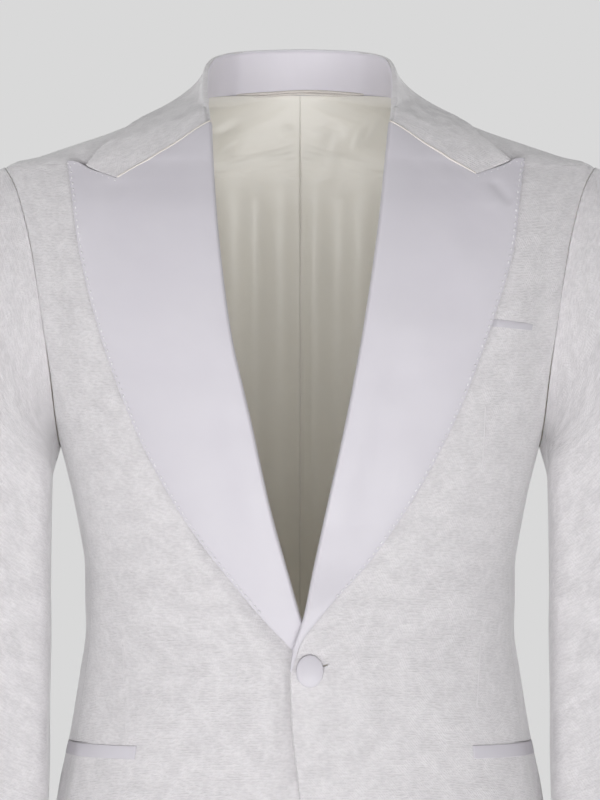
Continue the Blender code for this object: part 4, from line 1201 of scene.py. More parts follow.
# %% The collar's table
COLLAR_COLUMNS = "crease_x crease_y crease_z lean leaf_turn leaf_height foot_turn foot_height"
COLLAR_COLUMNS = COLLAR_COLUMNS.split()
COLLAR_ROWS = (
    (0.0, 82, 44.8, 0, 180, -11, 180, -3),
    (25.0, 80, 44.0, 3, 161, -11, 161.5, -3),
    (47.0, 70, 41.8, 8, 140, -11.5, 142, -3),
    (60.0, 54, 38.0, 18, 120, -12.5, 124, -3),
    (67.5, 34, 32.5, 30, 102, -14, 109, -3),
    (71.3, 8, 21.0, 40, 84, -16.5, 94, -3),
    (71.5, -16, 8.5, 48, 68, -22.5, 74, -3),
    (70.4, -42, -6.0, 55, 53, -34.5, 60, -11),
)
# In front the crease lies on the roll line: distance outwards, height, lean.
COLLAR_FRONT_ROWS = ((69.2, -17.7, 58), (68.4, -22.6, 60), (67.8, -25.3, 60), (67.2, -27.0, 60))
LEAF_FRONT = {
    "left": ((149.0, -44.6), (160.4, -54.5), (147.4, -60.9), NOTCH["left"]),
    "right": ((152.0, -45.2), (163.0, -58.4), (151.2, -65.0), NOTCH["right"]),
}
COLLAR_TABLE = table(COLLAR_COLUMNS, COLLAR_ROWS)
COLLAR_WALL, STAND_WALL, LEAF_LIFT = 2.2, 1.4, 1.4
LEAF_MIDDLE = LEAF_LIFT + COLLAR_WALL / 2
CREASE_RADIUS = 2.1
COLLAR_STEPS = 2  # worked rows from one row of the table to the next
BETWEEN = 6  # rows of points between two worked rows
LEAF_ARC, NOSE_ARC, STAND_ARC = (np.linspace(*ends, 9) for ends in ((80, 0), (140, 0), (83, 180)))
LEAF_SHARES = np.concatenate([np.linspace(0, 1, 41)[1:-1], [0.985, 1.0]])
UP, FLAT = np.array([0, 0, 1.0]), np.array([1.0, 1.0, 0])


def stand_off(points, least):
    """Moves points out until they are at least that far from the body's face."""
    flat = points.reshape(-1, 3)
    top, most = BODY_ROWS[-1][0], 8  # mm or degrees in one step of the search
    height = np.clip(flat[:, 2], HEM, top)
    across = flat[:, 0] / body("half_width", height)
    along = (body("side_y", height) - flat[:, 1]) / body("front_depth", height)
    turn = np.degrees(np.arctan2(across, along))
    for _ in range(12):
        base = body_point(turn, height)
        around = (body_point(turn + 0.05, height) - base) / 0.05
        up = (body_point(turn, height + 0.1) - body_point(turn, height - 0.1)) / 0.2
        away = flat - base
        turn = turn + np.clip((away * around).sum(-1) / (around**2).sum(-1), -most, most)
        rise = (away * up).sum(-1) / np.maximum((up**2).sum(-1), 1e-6)
        height = np.clip(height + np.clip(rise, -most, most), HEM, top)
    normal = body_normal(turn, height)
    depth = ((flat - body_point(turn, height)) * normal).sum(-1)
    inside = (height < NECK_RING) & (depth < least)
    moved = flat + np.where(inside, least - depth, 0.0)[:, None] * normal
    return moved.reshape(points.shape)


def collar_frames(side):
    """Rows along one half of the collar: crease, up and out directions, leaf edge point."""
    count = len(COLLAR_ROWS)
    at = np.linspace(0, count - 1, (count - 1) * COLLAR_STEPS + 1)
    read = {name: smooth(np.arange(count), COLLAR_TABLE[name], at) for name in COLLAR_COLUMNS}
    crease = np.stack([read["crease_" + axis] for axis in "xyz"], -1)
    where = read["leaf_turn"], read["leaf_height"]
    leaf = body_point(*where) + body_normal(*where) * LEAF_MIDDLE
    front = np.array(COLLAR_FRONT_ROWS, float)
    lift = np.full(len(front), roll_lift(0.0) + COLLAR_WALL / 2 - CREASE_RADIUS)
    crease = np.concatenate([crease, on_body(front[:, 0], front[:, 1], lift)])
    lean = np.radians(np.concatenate([read["lean"], front[:, 2]]))
    tips = np.array(LEAF_FRONT[side])
    leaf = np.concatenate([leaf, on_body(*tips.T, np.full(len(tips), LEAF_MIDDLE))])
    along = np.gradient(crease, axis=0)
    along[0] = (1.0, 0, 0)
    along = unit(along)
    inward = unit(np.cross(UP, along) * FLAT)
    up = unit(np.cos(lean)[:, None] * UP - np.sin(lean)[:, None] * inward)
    return crease, up, unit(np.cross(up, along)), leaf


def fold_arc(crease, up, out, angles):
    """Points of the fold's middle line: 0 on the leaf's side, 90 on top, 180 inside."""
    centre = crease - up * (CREASE_RADIUS + COLLAR_WALL / 2)
    angles = np.radians(angles)[:, None]
    return list(centre + CREASE_RADIUS * (np.cos(angles) * out + np.sin(angles) * up))


def finer(grid, steps, corners=()):
    """Rows of points between those of a grid, on curves that are sharp only at corners."""
    stops, rows = [0, *corners, len(grid) - 1], []
    for first, last in zip(stops, stops[1:]):
        part = grid[first : last + 1]
        slope = np.gradient(part, axis=0) if len(part) > 2 else np.diff(part, axis=0)[[0, 0]]
        for i in range(len(part) - 1):
            ends = part[i], part[i + 1], slope[i], slope[i + 1]
            rows += [hermite(u, *ends) for u in np.arange(steps) / steps]
    return np.array(rows + [grid[-1]])


print("collar rows:", (len(COLLAR_ROWS) - 1) * COLLAR_STEPS + 1 + len(COLLAR_FRONT_ROWS))

# %% The collar leaf
TIP_ROW = len(COLLAR_FRONT_ROWS) - 2  # the collar's point, counted from the front's end
LEAF_PULL, LEAF_FLAT_PULL, LEAF_RISE = 0.36, 0.08, 13.0  # how the leaf's curve bends
LEAF_FLAT, FLAT_LEAN, FLAT_LEAN_OVER = 0.6, 15, 20  # at the sides the leaf lies down sooner


def leaf_columns(side):
    """Rows of the leaf's middle on one side, each from the fold down to its edge."""
    crease, up, out, leaf = collar_frames(side)
    ends = len(crease) - len(COLLAR_FRONT_ROWS)
    tips = np.array(LEAF_FRONT[side])
    columns = []
    for k in range(len(crease)):
        points = fold_arc(crease[k], up[k], out[k], LEAF_ARC if k < ends else NOSE_ARC)
        if k >= ends:
            start, end = np.array(COLLAR_FRONT_ROWS[k - ends][:2]), tips[k - ends]
            line = start + (end - start) * LEAF_SHARES[:, None]
            lift = roll_lift(LEAF_SHARES * np.linalg.norm(end - start)) + COLLAR_WALL / 2
            columns.append(points + list(on_body(*line.T, lift)))
            continue
        start, end = points[-1], leaf[k]
        lean = np.degrees(np.arccos(up[k][2]))
        flat = LEAF_FLAT * ease((lean - FLAT_LEAN) / FLAT_LEAN_OVER)
        pull = np.linalg.norm(end - start) * (LEAF_PULL - LEAF_FLAT_PULL * flat)
        settle = unit(end - crease[k] + UP * LEAF_RISE * flat)
        down = unit(up[k] * (1 - flat) + UP * flat)
        u = LEAF_SHARES[:, None]
        curve = (1 - u) ** 3 * start + 3 * u * (1 - u) ** 2 * (start - down * pull)
        curve = curve + 3 * u * u * (1 - u) * (end - settle * pull) + u**3 * end
        columns.append(points + list(curve))
    columns = np.array(columns)
    lying = slice(len(LEAF_ARC), None)
    columns[:, lying] = stand_off(columns[:, lying], LEAF_MIDDLE)
    return finer(columns, BETWEEN, (len(columns) - 1 - TIP_ROW,))


def sheet(name, middle, thickness, finishes):
    """A piece of even thickness round its middle face, whole from side to side."""
    normals = unit(np.cross(np.gradient(middle, axis=1), np.gradient(middle, axis=0)))
    face, back = middle + normals * thickness / 2, middle - normals * thickness / 2
    return make_up(name, None, face, back, finishes, (RIM, RIM, SEWN, RIM))


def both_halves(right, left):
    """Rows from the end of the right half, past the middle, to the end of the left one."""
    return np.concatenate([for_side("right", right)[:0:-1], left])


leaf = both_halves(leaf_columns("right"), leaf_columns("left"))
for end, inside in ((0, 1), (-1, -2)):
    leaf[end] -= unit(leaf[end] - leaf[inside]) * GORGE_GAP / 2
sheet("cloth_collar_leaf", leaf, COLLAR_WALL, (CLOTH,))

# %% The collar stand
STAND_FOOT_GAP = 0.7
STAND_SHARES = np.linspace(0, 1, 26)[1:]
# Hollows near the band's two ends, each from its top to its foot.
STAND_HOLLOWS = (
    (((-52, 68, 52), (-54, 66, -6)), 11.0, 3.0, 0.01),
    (((53, 68, 52), (55, 66, -6)), 11.0, 3.0, 0.01),
)
STAND_FLAT, STAND_FLAT_REACH = 5.0, 34  # the middle of the back neck is held a little flatter
STAND_RIPPLE, RIPPLE_END, RIPPLE_FADE = (45, 0.3, 21), 40, 25


def stand_foot(at, fold_end):
    """Foot of the collar stand at a row of the collar, just clear of the panels' edges."""
    places = np.arange(len(COLLAR_ROWS))
    turn, height = (
        float(smooth(places, COLLAR_TABLE[name], at)) for name in ("foot_turn", "foot_height")
    )
    if height < NECK_RING:
        turn = float(front_turn(inner_x("left", height), height))
    normal = body_normal(turn, height)
    foot = body_point(turn, height) - normal * SHELL / 2
    towards = unit(fold_end - foot)
    return foot + towards * (STAND_FOOT_GAP + abs(towards @ normal) * (SHELL + COLLAR_WALL) / 4)


def stand_columns():
    """Rows of the stand's middle on one side, each from the fold down to its foot."""
    crease, up, out, _ = collar_frames("left")
    columns = []
    for k in range((len(COLLAR_ROWS) - 1) * COLLAR_STEPS + 1):
        points = fold_arc(crease[k], up[k], out[k], STAND_ARC)
        foot = stand_foot(k / COLLAR_STEPS, points[-1])
        columns.append(points + [points[-1] * (1 - u) + foot * u for u in STAND_SHARES])
    return finer(np.array(columns), BETWEEN)


half = stand_columns()
stand = both_halves(half, half)
fade = 1 - ease((np.abs(stand[..., 0]) - RIPPLE_END) / RIPPLE_FADE)
stand[..., 1] += ripple(stand, *STAND_RIPPLE) * fade
drop = stand[:, :1, 2] - stand[..., 2]
middle = STAND_FLAT * np.exp(-((stand[..., 0] / STAND_FLAT_REACH) ** 2))
stand[..., 1] -= middle * drop / drop[:, -1:]
for line, *sizes in STAND_HOLLOWS:
    stand[..., 1] += fold(stand, line, *sizes)
# The band's satin is the lighter copy, with painted light.
sheet("satin_collar_stand", stand, STAND_WALL, (PAINTED_LIGHT_BAND_SATIN,))
FOOT_LINE, FOOT_UP = stand[:, -1], unit(stand[:, -4] - stand[:, -1])

# %% [markdown]
# ## Welts, piping and the button
#
# A welt is the narrow satin band that finishes a pocket. It is a strip laid on the front, with its
# two long edges rounded. Above it lies a thin dark strip of painted shade where the pocket opens.
# A thin cream piping runs where the collar meets the lapels and under the collar stand.

# %% Welts
HIP_TOP, HIP_BOTTOM = (-499.2, -502.0), (-509.3, -512.0)  # heights of the inner and outer end
HIP_INNER = {"left": 131.2, "right": 124.2}
HIP_END_OFFSET = 12.0
BREAST_TOP, BREAST_BOTTOM = (-172.3, -179.2), (-179.2, -184.0)
BREAST_ENDS = (112.0, 178.0)
WELT_WALL, HIP_LIFT, BREAST_WALL = 0.7, 0.15, 0.3
WELT_CROWN, WELT_RIPPLE = 0.3, (14, 0.06, 31)
WELT_SINK, WELT_SINK_FROM = 0.75, 0.8  # its outer end lies closer to the cloth
# The mouth is a thin dark strip of painted shade.
MOUTH_SHADE_WIDTH, MOUTH_SHADE_START = 0.26, 0.45  # the mouth shows along the welt's outer part


def lay_strip(name, side, ends, share, heights, lift, crown, satin, under=0.0):
    """A strip laid on the front between two turns, with its face crowned over its lift."""
    turns = np.broadcast_to(ends[0] + (ends[1] - ends[0]) * share, heights.shape)
    points, normals = body_point(turns, heights), body_normal(turns, heights)
    out = drape(points) + overlap(side, points) + beside_lapel(side, points) + lift
    face = points + normals * (out + crown(points))[..., None]
    back = points + normals * (out - under)[..., None]
    return make_up(name, side, face, back, (satin,))


# By default a welt takes the slightly darker copy of the satin, with painted shade.
def make_welt(name, side, turns, tops, bottoms, lift, wall=WELT_WALL, satin=PAINTED_SHADE_WELT_SATIN):
    """A satin strip on the front, crowned a little across its width."""
    share, rise = edged(48, 60, near=0.8), edged(8, 10, near=0.8)[:, None]
    low, high = (a + (b - a) * share for a, b in (bottoms, tops))

    def crown(points):
        soft = WELT_CROWN * (1 - (2 * rise - 1) ** 2) + ripple(points, *WELT_RIPPLE)
        return (soft + wall) * (1 - WELT_SINK * ease((share - WELT_SINK_FROM) / 0.2))

    return lay_strip(name, side, turns, share, low + (high - low) * rise, lift, crown, satin)


def make_painted_mouth_shade(name, side, turns, heights, lift):
    """Painted shade where a pocket opens, as a thin dark strip above the welt."""
    share = np.linspace(0, 1, 25)
    tapered = MOUTH_SHADE_WIDTH * np.sin(np.pi * np.clip(share * 0.9 + 0.1, 0, 1)) ** 0.5
    middle = heights[0] + (heights[1] - heights[0]) * share
    rows = middle + np.array([-1.0, -0.5, 0.0])[:, None] * tapered * 2
    return lay_strip(name, side, turns, share, rows, lift, lambda points: 0.25, SHADOW, 0.3)


middle = (HIP_TOP[0] + HIP_BOTTOM[0]) / 2
for side in SIDES:
    inner = float(front_turn(HIP_INNER[side], middle))
    outer = float(side_turn(HIP_END_OFFSET, middle))
    make_welt("satin_hip_welt_" + side, side, (inner, outer), HIP_TOP, HIP_BOTTOM, HIP_LIFT)
    turns = inner + (outer - inner) * MOUTH_SHADE_START, outer - 1.0
    heights = HIP_TOP[0] - 0.2, HIP_TOP[1] + 0.6
    make_painted_mouth_shade("hip_pocket_painted_shade_" + side, side, turns, heights, 0.1)
middle = (BREAST_TOP[0] + BREAST_BOTTOM[1]) / 2
turns = [float(front_turn(x, middle)) for x in BREAST_ENDS]
# The breast welt's satin is a darker copy, with painted shade.
breast = (BREAST_TOP, BREAST_BOTTOM, 0.0, BREAST_WALL, PAINTED_SHADE_BREAST_SATIN)
make_welt("satin_breast_welt", "left", turns, *breast)

# %% Piping and thin cords of thread
TUBE_SIDES = 10
TIP_BEYOND, TIP_RADIUS = 0.8, 0.45  # of the tube's radius


def make_tube(name, path, radius, finish):
    """A closed tube along a row of points, with round ends."""
    path = np.asarray(path, float)
    along = unit(np.gradient(path, axis=0))
    out = unit(np.cross(along[0], [0.3, 0.2, 1.0]))
    rings, angles = [], np.linspace(0, 2 * np.pi, TUBE_SIDES, endpoint=False)[:, None]
    last = len(path) - 1
    tips = (0, -TIP_BEYOND, TIP_RADIUS), (last, TIP_BEYOND, TIP_RADIUS)
    for k, beyond, share in [tips[0], *((k, 0, 1.0) for k in range(last + 1)), tips[1]]:
        out = unit(out - (out @ along[k]) * along[k])
        ring = np.cos(angles) * out + np.sin(angles) * np.cross(along[k], out)
        rings.append(path[k] + along[k] * beyond * radius + ring * radius * share)
    index = np.arange(len(rings) * TUBE_SIDES).reshape(-1, TUBE_SIDES)
    faces = quads(index, closed=True).tolist() + [list(index[0]), list(index[-1][::-1])]
    return add_mesh(name, np.concatenate(rings) * MM, faces, (finish,))


def gorge_line(side):
    """The line where the collar leaf meets the lapel, from the roll to the notch."""
    start = np.array([LAPELS[side]["roll_x"][-1], LAPELS[side]["roll_height"][-1]])
    notch, share = np.array(NOTCH[side]), np.linspace(0.012, 0.985, 60)
    line = start + (notch - start) * share[:, None]
    lift = roll_lift(share * np.linalg.norm(notch - start)) + COLLAR_WALL - 0.15
    return for_side(side, on_body(*line.T, lift))


GORGE_PIPING, NECK_PIPING = 0.85, 1.15
NECK_PIPES = ((3.3, 0.9, 0.2), (1.1, 1.1, 0.3))  # rise, distance forward, waver
PIPE_SUNK, PIPE_SUNK_FROM, PIPE_SUNK_OVER = 2.4, 47, 9  # they sink into the band's ends
for side in SIDES:
    make_tube("gorge_piping_" + side, gorge_line(side), GORGE_PIPING, PIPING)
shown = (np.abs(FOOT_LINE[:, 0]) < 72) & (FOOT_LINE[:, 1] > 30)
foot, foot_up = FOOT_LINE[shown], FOOT_UP[shown]
inwards = unit((np.array([0, 30.0, 0]) - foot) * FLAT)
sunk = PIPE_SUNK * ease((np.abs(foot[:, 0]) - PIPE_SUNK_FROM) / PIPE_SUNK_OVER)[:, None]
for number, (rise, forward, waver) in enumerate(NECK_PIPES, 1):
    line = foot + inwards * (forward - sunk) + foot_up * rise
    wave = waver * np.sin(line[:, 0] / 9.0 + number) + 0.4 * np.sin(line[:, 0] / 23.0)
    make_tube(f"neck_piping_{number}", line + wave[:, None] * UP, NECK_PIPING, PIPING)

# The lining's centre seam stands a little proud, as far down as the front is open.
centre = LINING_CENTRE["left"]
centre = centre[(centre[:, 2] < -8) & (centre[:, 2] > -560)]
make_tube("lining_seam", (centre + [0, 0.3, 0]) * [0, 1, 1], 0.5, LINING)

# %% The covered button
BUTTON_X, BUTTON_HEIGHT = 7.4, -440.5
BUTTON_HALF_WIDTH, BUTTON_HALF_HEIGHT = 10.3, 12.3
BUTTON_CLEARANCE, BUTTON_TILT = 0.25, 0.055
BUTTON_PROFILE = (
    # share of the half width, distance out from the button's back
    ((0.0, 0.05), (0.55, 0.05), (0.86, 0.1), (0.96, 0.35), (1.0, 0.9), (1.0, 1.45))
    + ((0.993, 2.0), (0.975, 2.45), (0.945, 2.7), (0.9, 2.9), (0.81, 3.23), (0.68, 3.55))
    + ((0.54, 3.88), (0.38, 4.15), (0.2, 4.33), (0.06, 4.39))
)
BUTTON_SIDES, BUTTON_RINGS = 72, 46
PLEATS, PLEAT_HEIGHT = 12, 0.06


def front_face(side, x, height):
    """The y of a front's outer face near the centre."""
    base = body_point(front_turn(x, height), height)
    return float(base[1] - overlap(side, base))


def make_button():
    """A dome covered in satin, with tiny pleats where the cover turns over its rim."""
    back = front_face("left", BUTTON_X, BUTTON_HEIGHT) - BUTTON_CLEARANCE
    angles = np.linspace(0, 2 * np.pi, BUTTON_SIDES, endpoint=False)
    knots = np.arange(len(BUTTON_PROFILE))
    places = np.linspace(0, knots[-1], BUTTON_RINGS)
    radius, out = (smooth(knots, column, places) for column in np.array(BUTTON_PROFILE).T)
    rings = []
    for share, height in zip(radius[1:], out[1:]):
        pleats = PLEAT_HEIGHT * np.cos(PLEATS * angles) * (height < 2.3) * (share > 0.85)
        x = (BUTTON_HALF_WIDTH * share + pleats) * np.cos(angles)
        z = (BUTTON_HALF_HEIGHT * share + pleats) * np.sin(angles)
        rings.append(np.stack([x, np.full(len(x), -height), z], -1))
    points = np.concatenate([[[0, -out[0], 0]], *rings, [[0, -BUTTON_PROFILE[-1][1], 0]]])
    index = 1 + np.arange(len(rings) * BUTTON_SIDES).reshape(-1, BUTTON_SIDES)
    faces = quads(index, closed=True).tolist()
    for tip, ring in ((0, index[0][::-1]), (len(points) - 1, index[-1])):
        faces += [[tip, *pair] for pair in zip(ring, np.roll(ring, -1))]
    flat = points[:, [0, 2]] * MM
    points[:, 1] += BUTTON_TILT * points[:, 2]  # the top lies closer to the cloth
    points = (points + np.array([BUTTON_X, back, BUTTON_HEIGHT])) * MM
    # The button takes the welts' slightly darker copy of the satin, with painted shade.
    return add_mesh("satin_button", points, faces, (PAINTED_SHADE_WELT_SATIN,), flat=flat)


make_button()

# %% [markdown]
# ## Stitches
#
# Small hand stitches run just inside the lapels' edges, and a ring of close stitches
# finishes the buttonhole. Geometry Nodes lay them: they space points evenly along a line,
# put one short bead of thread at each, turned along the line and away from the cloth, and
# make the result one plain mesh.

# %% A stitching tree
STITCH_INPUTS = (("Pitch", 0.0052), ("Length", 0.0024), ("Thickness", 0.0007), ("Slant", 0.0))
BEAD_SIDES, BEAD_RINGS = 8, 6
BEAD_SIZES = (0.85, 1.12)  # each bead's size lies somewhere between these


def stitching_tree(thread):
    """Nodes that lay a bead of thread at each step along a line."""
    tree = bpy.data.node_groups.new("stitching", "GeometryNodeTree")
    tree.interface.new_socket("Geometry", in_out="INPUT", socket_type="NodeSocketGeometry")
    for name, value in STITCH_INPUTS:
        socket = tree.interface.new_socket(name, in_out="INPUT", socket_type="NodeSocketFloat")
        socket.default_value = value
    tree.interface.new_socket("Geometry", in_out="OUTPUT", socket_type="NodeSocketGeometry")

    def node(kind, links=(), **values):
        return add(tree, "GeometryNode" + kind, links, **values).outputs[0]

    def worked(kind, links, **values):
        return add(tree, "FunctionNode" + kind, links, **values).outputs[0]

    given = tree.nodes.new("NodeGroupInput").outputs
    curve = node("MeshToCurve", {"Mesh": given["Geometry"]})
    spaced = node("ResampleCurve", {"Curve": curve, "Length": given["Pitch"]}, mode="LENGTH")
    along = node("InputTangent")
    outward = node("InputNamedAttribute", data_type="FLOAT_VECTOR", Name="outward")
    turned = worked("AlignRotationToVector", {"Vector": along}, axis="X")
    lifted = {"Rotation": turned, "Vector": outward}
    turned = worked("AlignRotationToVector", lifted, axis="Z", pivot_axis="X")
    spin = add(tree, "ShaderNodeCombineXYZ", {"Z": given["Slant"]}).outputs[0]
    spun = {"Rotation": turned, "Rotate By": spin}
    slanted = worked("RotateRotation", spun, rotation_space="LOCAL")
    bead = node("MeshUVSphere", Segments=BEAD_SIDES, Rings=BEAD_RINGS, Radius=0.5)
    size = {"X": given["Length"], "Y": given["Thickness"], "Z": given["Thickness"]}
    size = add(tree, "ShaderNodeCombineXYZ", size).outputs[0]
    shaped = node("Transform", {"Geometry": bead, "Scale": size})
    vary = add(tree, "FunctionNodeRandomValue", data_type="FLOAT", Seed=3)
    vary.inputs[2].default_value, vary.inputs[3].default_value = BEAD_SIZES
    beads = {"Points": spaced, "Instance": shaped, "Rotation": slanted, "Scale": vary.outputs[1]}
    real = node("RealizeInstances", {"Geometry": node("InstanceOnPoints", beads)})
    done = add(tree, "GeometryNodeSetMaterial", {"Geometry": real})
    done.inputs["Material"].default_value = thread
    tree.links.new(done.outputs[0], tree.nodes.new("NodeGroupOutput").inputs[0])
    return tree


STITCHING = stitching_tree(THREAD)
print("stitching inputs:", [name for name, _ in STITCH_INPUTS])

# %% Lay a row of stitches along a line
LAPEL_STITCHES = {"Pitch": 0.0052, "Length": 0.0025, "Thickness": 0.0011}
PEAK_STITCHES = {"Pitch": 0.0056, "Length": 0.0018, "Thickness": 0.0008}
PEAK_INSET, LAPEL_PROUD, PEAK_PROUD = 2.4, 0.05, -0.1
PEAK_ROWS = 6  # the lapel's stitches stop this many rows short, where it turns to the notch


def stitch(name, line, outward, closed=False, **sizes):
    """Stitches along a row of points in millimetres, as one plain mesh."""
    mesh = bpy.data.meshes.new(name)
    last = len(line) - 1
    edges = [(i, i + 1) for i in range(last)] + [(last, 0)] * closed
    mesh.from_pydata((np.asarray(line) * MM).tolist(), edges, [])
    held = mesh.attributes.new("outward", "FLOAT_VECTOR", "POINT")
    held.data.foreach_set("vector", np.asarray(outward, float).ravel())
    guide = bpy.data.objects.new(name, mesh)
    bpy.context.scene.collection.objects.link(guide)
    nodes = guide.modifiers.new("stitching", "NODES")
    nodes.node_group = STITCHING
    for socket in STITCHING.interface.items_tree:
        if socket.in_out == "INPUT" and socket.name in sizes:
            nodes[socket.identifier] = float(sizes[socket.name])
    settle(guide, nodes)
    guide.data.name = name
    guide.data.shade_smooth()
    PIECES[name] = guide
    print(name, len(guide.data.polygons), "faces")


def settle(piece, modifier):
    """Leaves a piece as the plain mesh that its modifier makes of it."""
    ready = piece.evaluated_get(bpy.context.evaluated_depsgraph_get())
    made = bpy.data.meshes.new_from_object(ready)
    piece.modifiers.remove(modifier)
    piece.data = made


def stitches_on_front(side, line, lift):
    """Points of a row of stitches, and the way out of the satin at each."""
    points = lay_on_front(side, np.concatenate([line, lift[:, None]], axis=1))
    outward = body_normal(front_turn(*line.T), line[:, 1])
    return for_side(side, points), for_side(side, outward)


def lapel_stitch_line(side):
    """The stitches inside the lapel's outer edge."""
    stations, roll, edge = lapel_rows(side)
    width = np.linalg.norm(edge - roll, axis=1)
    share = 1 - STITCH_INSET / np.maximum(width, 8)
    line = roll + (edge - roll) * share[:, None]
    drop = EDGE_DROP * np.exp(-STITCH_INSET / EDGE_DROP_LENGTH)
    lift = roll_lift(width * share) - drop + LAPEL_WALL + LAPEL_PROUD
    keep = np.flatnonzero(stations > STITCH_END_STATIONS)[:-PEAK_ROWS]
    return stitches_on_front(side, line[keep], lift[keep])


def peak_stitch_line(side):
    """The stitches under the peak's top edge, from the notch outwards."""
    edge, notch = lapel_rows(side)[2][-1], np.array(NOTCH[side])
    shares = np.linspace(NOTCH_SHARE + 0.01, 0.985, 40)
    line = lapel_top(np.zeros(2), edge, notch, shares, PEAK_BULGE[side]) - [0, PEAK_INSET]
    lift = np.full(len(line), roll_lift(90.0) + LAPEL_WALL + PEAK_PROUD)
    return stitches_on_front(side, line, lift)


for side in SIDES:
    stitch("peak_stitches_" + side, *peak_stitch_line(side), **PEAK_STITCHES)
    stitch("lapel_stitches_" + side, *lapel_stitch_line(side), **LAPEL_STITCHES)

# %% The buttonhole
HOLE_START, HOLE_END = 4.5, 20.6
HOLE_HEIGHT, HOLE_SLOPE, HOLE_WIDTH = -436.6, 0.26, 0.95
HOLE_POINTS = 40  # along each long side
HOLE_DEPTHS = (-8, 6)  # where the cut begins and ends, from the front's outer face
STITCH_RING = 0.8  # from the slit's edge to the stitches' middle
HOLE_STITCHES = {"Pitch": 0.0006, "Length": 0.0010, "Thickness": 0.0003, "Slant": np.pi / 2}


def hole_outline(margin):
    """A slim closed loop round the buttonhole's slit, as distance outwards and height."""
    half = HOLE_WIDTH / 2 + margin
    ends = np.linspace(-np.pi / 2, np.pi / 2, 9)
    out, up = half * np.cos(ends), half * np.sin(ends)
    run = np.linspace(HOLE_START, HOLE_END, HOLE_POINTS)[1:-1]
    level = np.full(len(run), half)
    x = np.concatenate([HOLE_END + out, run[::-1], HOLE_START - out, run])
    rise = np.concatenate([up, level, up[::-1], -level])
    return x, HOLE_HEIGHT + rise + HOLE_SLOPE * (x - BUTTON_X - BUTTON_HALF_WIDTH)


def cut_buttonhole(front):
    """Cuts the slit through the front and leaves a plain mesh."""
    x, height = hole_outline(0.0)
    y = front_face("left", BUTTON_X, BUTTON_HEIGHT)
    loops = [np.stack([x, np.full(len(x), y + depth), height], -1) for depth in HOLE_DEPTHS]
    index = np.arange(2 * len(x)).reshape(2, -1)
    faces = [index[0], index[1][::-1], *quads(index, closed=True)]
    add_mesh("buttonhole_cutter", np.concatenate(loops) * MM, faces, (CLOTH,))
    cutter = PIECES.pop("buttonhole_cutter")
    cut = front.modifiers.new("buttonhole", "BOOLEAN")
    cut.operation, cut.solver, cut.object = "DIFFERENCE", "EXACT", cutter
    settle(front, cut)
    bpy.data.objects.remove(cutter)


cut_buttonhole(PIECES["cloth_front_left"])
x, height = hole_outline(STITCH_RING)
turn = front_turn(x, height)
points, outward = body_point(turn, height), body_normal(turn, height)
lift = overlap("left", points) + drape(points) + 0.1
line = points + outward * lift[:, None]
stitch("buttonhole_stitches", line, outward, closed=True, **HOLE_STITCHES)

# %% Darts
DARTS = {
    # side: lines of a front as distances outwards and heights
    "left": (((141, -243), (138.5, -291)), ((139, -417), (134.5, -470))),
    "right": (((135.5, -424), (134, -452)), ((132.5, -464), (132, -499))),
}
DART_RADIUS, DART_SUNK = 0.75, 0.35

for side, lines in DARTS.items():
    for number, ends in enumerate(lines, 1):
        line = across_front(*ends)
        out = body_normal(front_turn(line[:, 0], line[:, 2]), line[:, 2])
        line = line + out * (drape(line) + overlap(side, line) - DART_SUNK)[:, None]
        make_tube(f"dart_{side}_{number}", for_side(side, line), DART_RADIUS, CLOTH)

# %% [markdown]
# ## What each piece is
#
# Every piece rides on the jacket's one body and stands for its solid, which is hidden.

# %% Ride and replace
# Each row: piece, node, flat width and length, area, how it is held, and what it hangs
# from or lies on. A star stands for the side.
FRONT_BACK, SIDE_BACK = "cloth_front_* cloth_back_*", "cloth_side_* cloth_back_*"
PAIRS = (
    ("cloth_front_*", "front_*", 0.27, 0.78, 0.130, "hung", "cloth_back_*"),
    ("cloth_side_*", "side_*", 0.11, 0.51, 0.044, "hung", FRONT_BACK),
    ("cloth_back_*", "back_*", 0.26, 0.78, 0.140, "hung", "cloth_front_*"),
    ("lining_back_*", "lining_*", 0.26, 0.76, 0.138, "hung", "cloth_back_*"),
    ("cloth_sleeve_top_*", "sleeve_top_*", 0.27, 0.66, 0.140, "hung", FRONT_BACK),
    ("cloth_sleeve_under_*", "sleeve_under_*", 0.15, 0.50, 0.060, "hung", SIDE_BACK),
    ("satin_lapel_*", "lapel_*", 0.14, 0.46, 0.044, "folded", "cloth_front_*"),
    ("satin_hip_welt_*", "hip_welt_*", 0.075, 0.0125, None, "laid", "cloth_front_*"),
)
BACKS = "cloth_back_left cloth_back_right"
STAND_BACKS = "satin_collar_stand " + BACKS
SINGLES = (
    ("cloth_collar_leaf", "collar_leaf", 0.60, 0.075, 0.027, "folded", STAND_BACKS),
    ("satin_collar_stand", "collar_stand", 0.32, 0.045, 0.012, "folded", BACKS),
    ("satin_breast_welt", "breast_welt", 0.068, 0.0105, 0.0006, "laid", "cloth_front_left"),
)


def declare(side, name, node, width, length, area, held, rests_on):
    name, node, rests_on = (text.replace("*", side) for text in (name, node, rests_on))
    piece, rests_on = PIECES[name], rests_on.split()
    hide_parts(node)
    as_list(rests_on)


for piece in PIECES.values():
    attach(piece, "root")
for side in SIDES:
    for facts in PAIRS:
        declare(side, *facts)
for facts in SINGLES:
    declare("", *facts)
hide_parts("button")
shank = frame["nodes"]["button_shank"]
shank.data.materials.clear()
shank.data.materials.append(THREAD)
print("pieces:", len(PIECES))

# %% [markdown]
# ## Camera, light and floor
#
# The camera stands level with the chest, far off with a long lens, so that the jacket
# shows with little perspective. The light is an even pale studio: a bright grey world from
# all round, and large soft lamps near the camera, a little below the chest, so that the
# shoulders and the inside of the back fall into a soft shade. Two weaker lamps stand at
# the wearer's right and above the back.

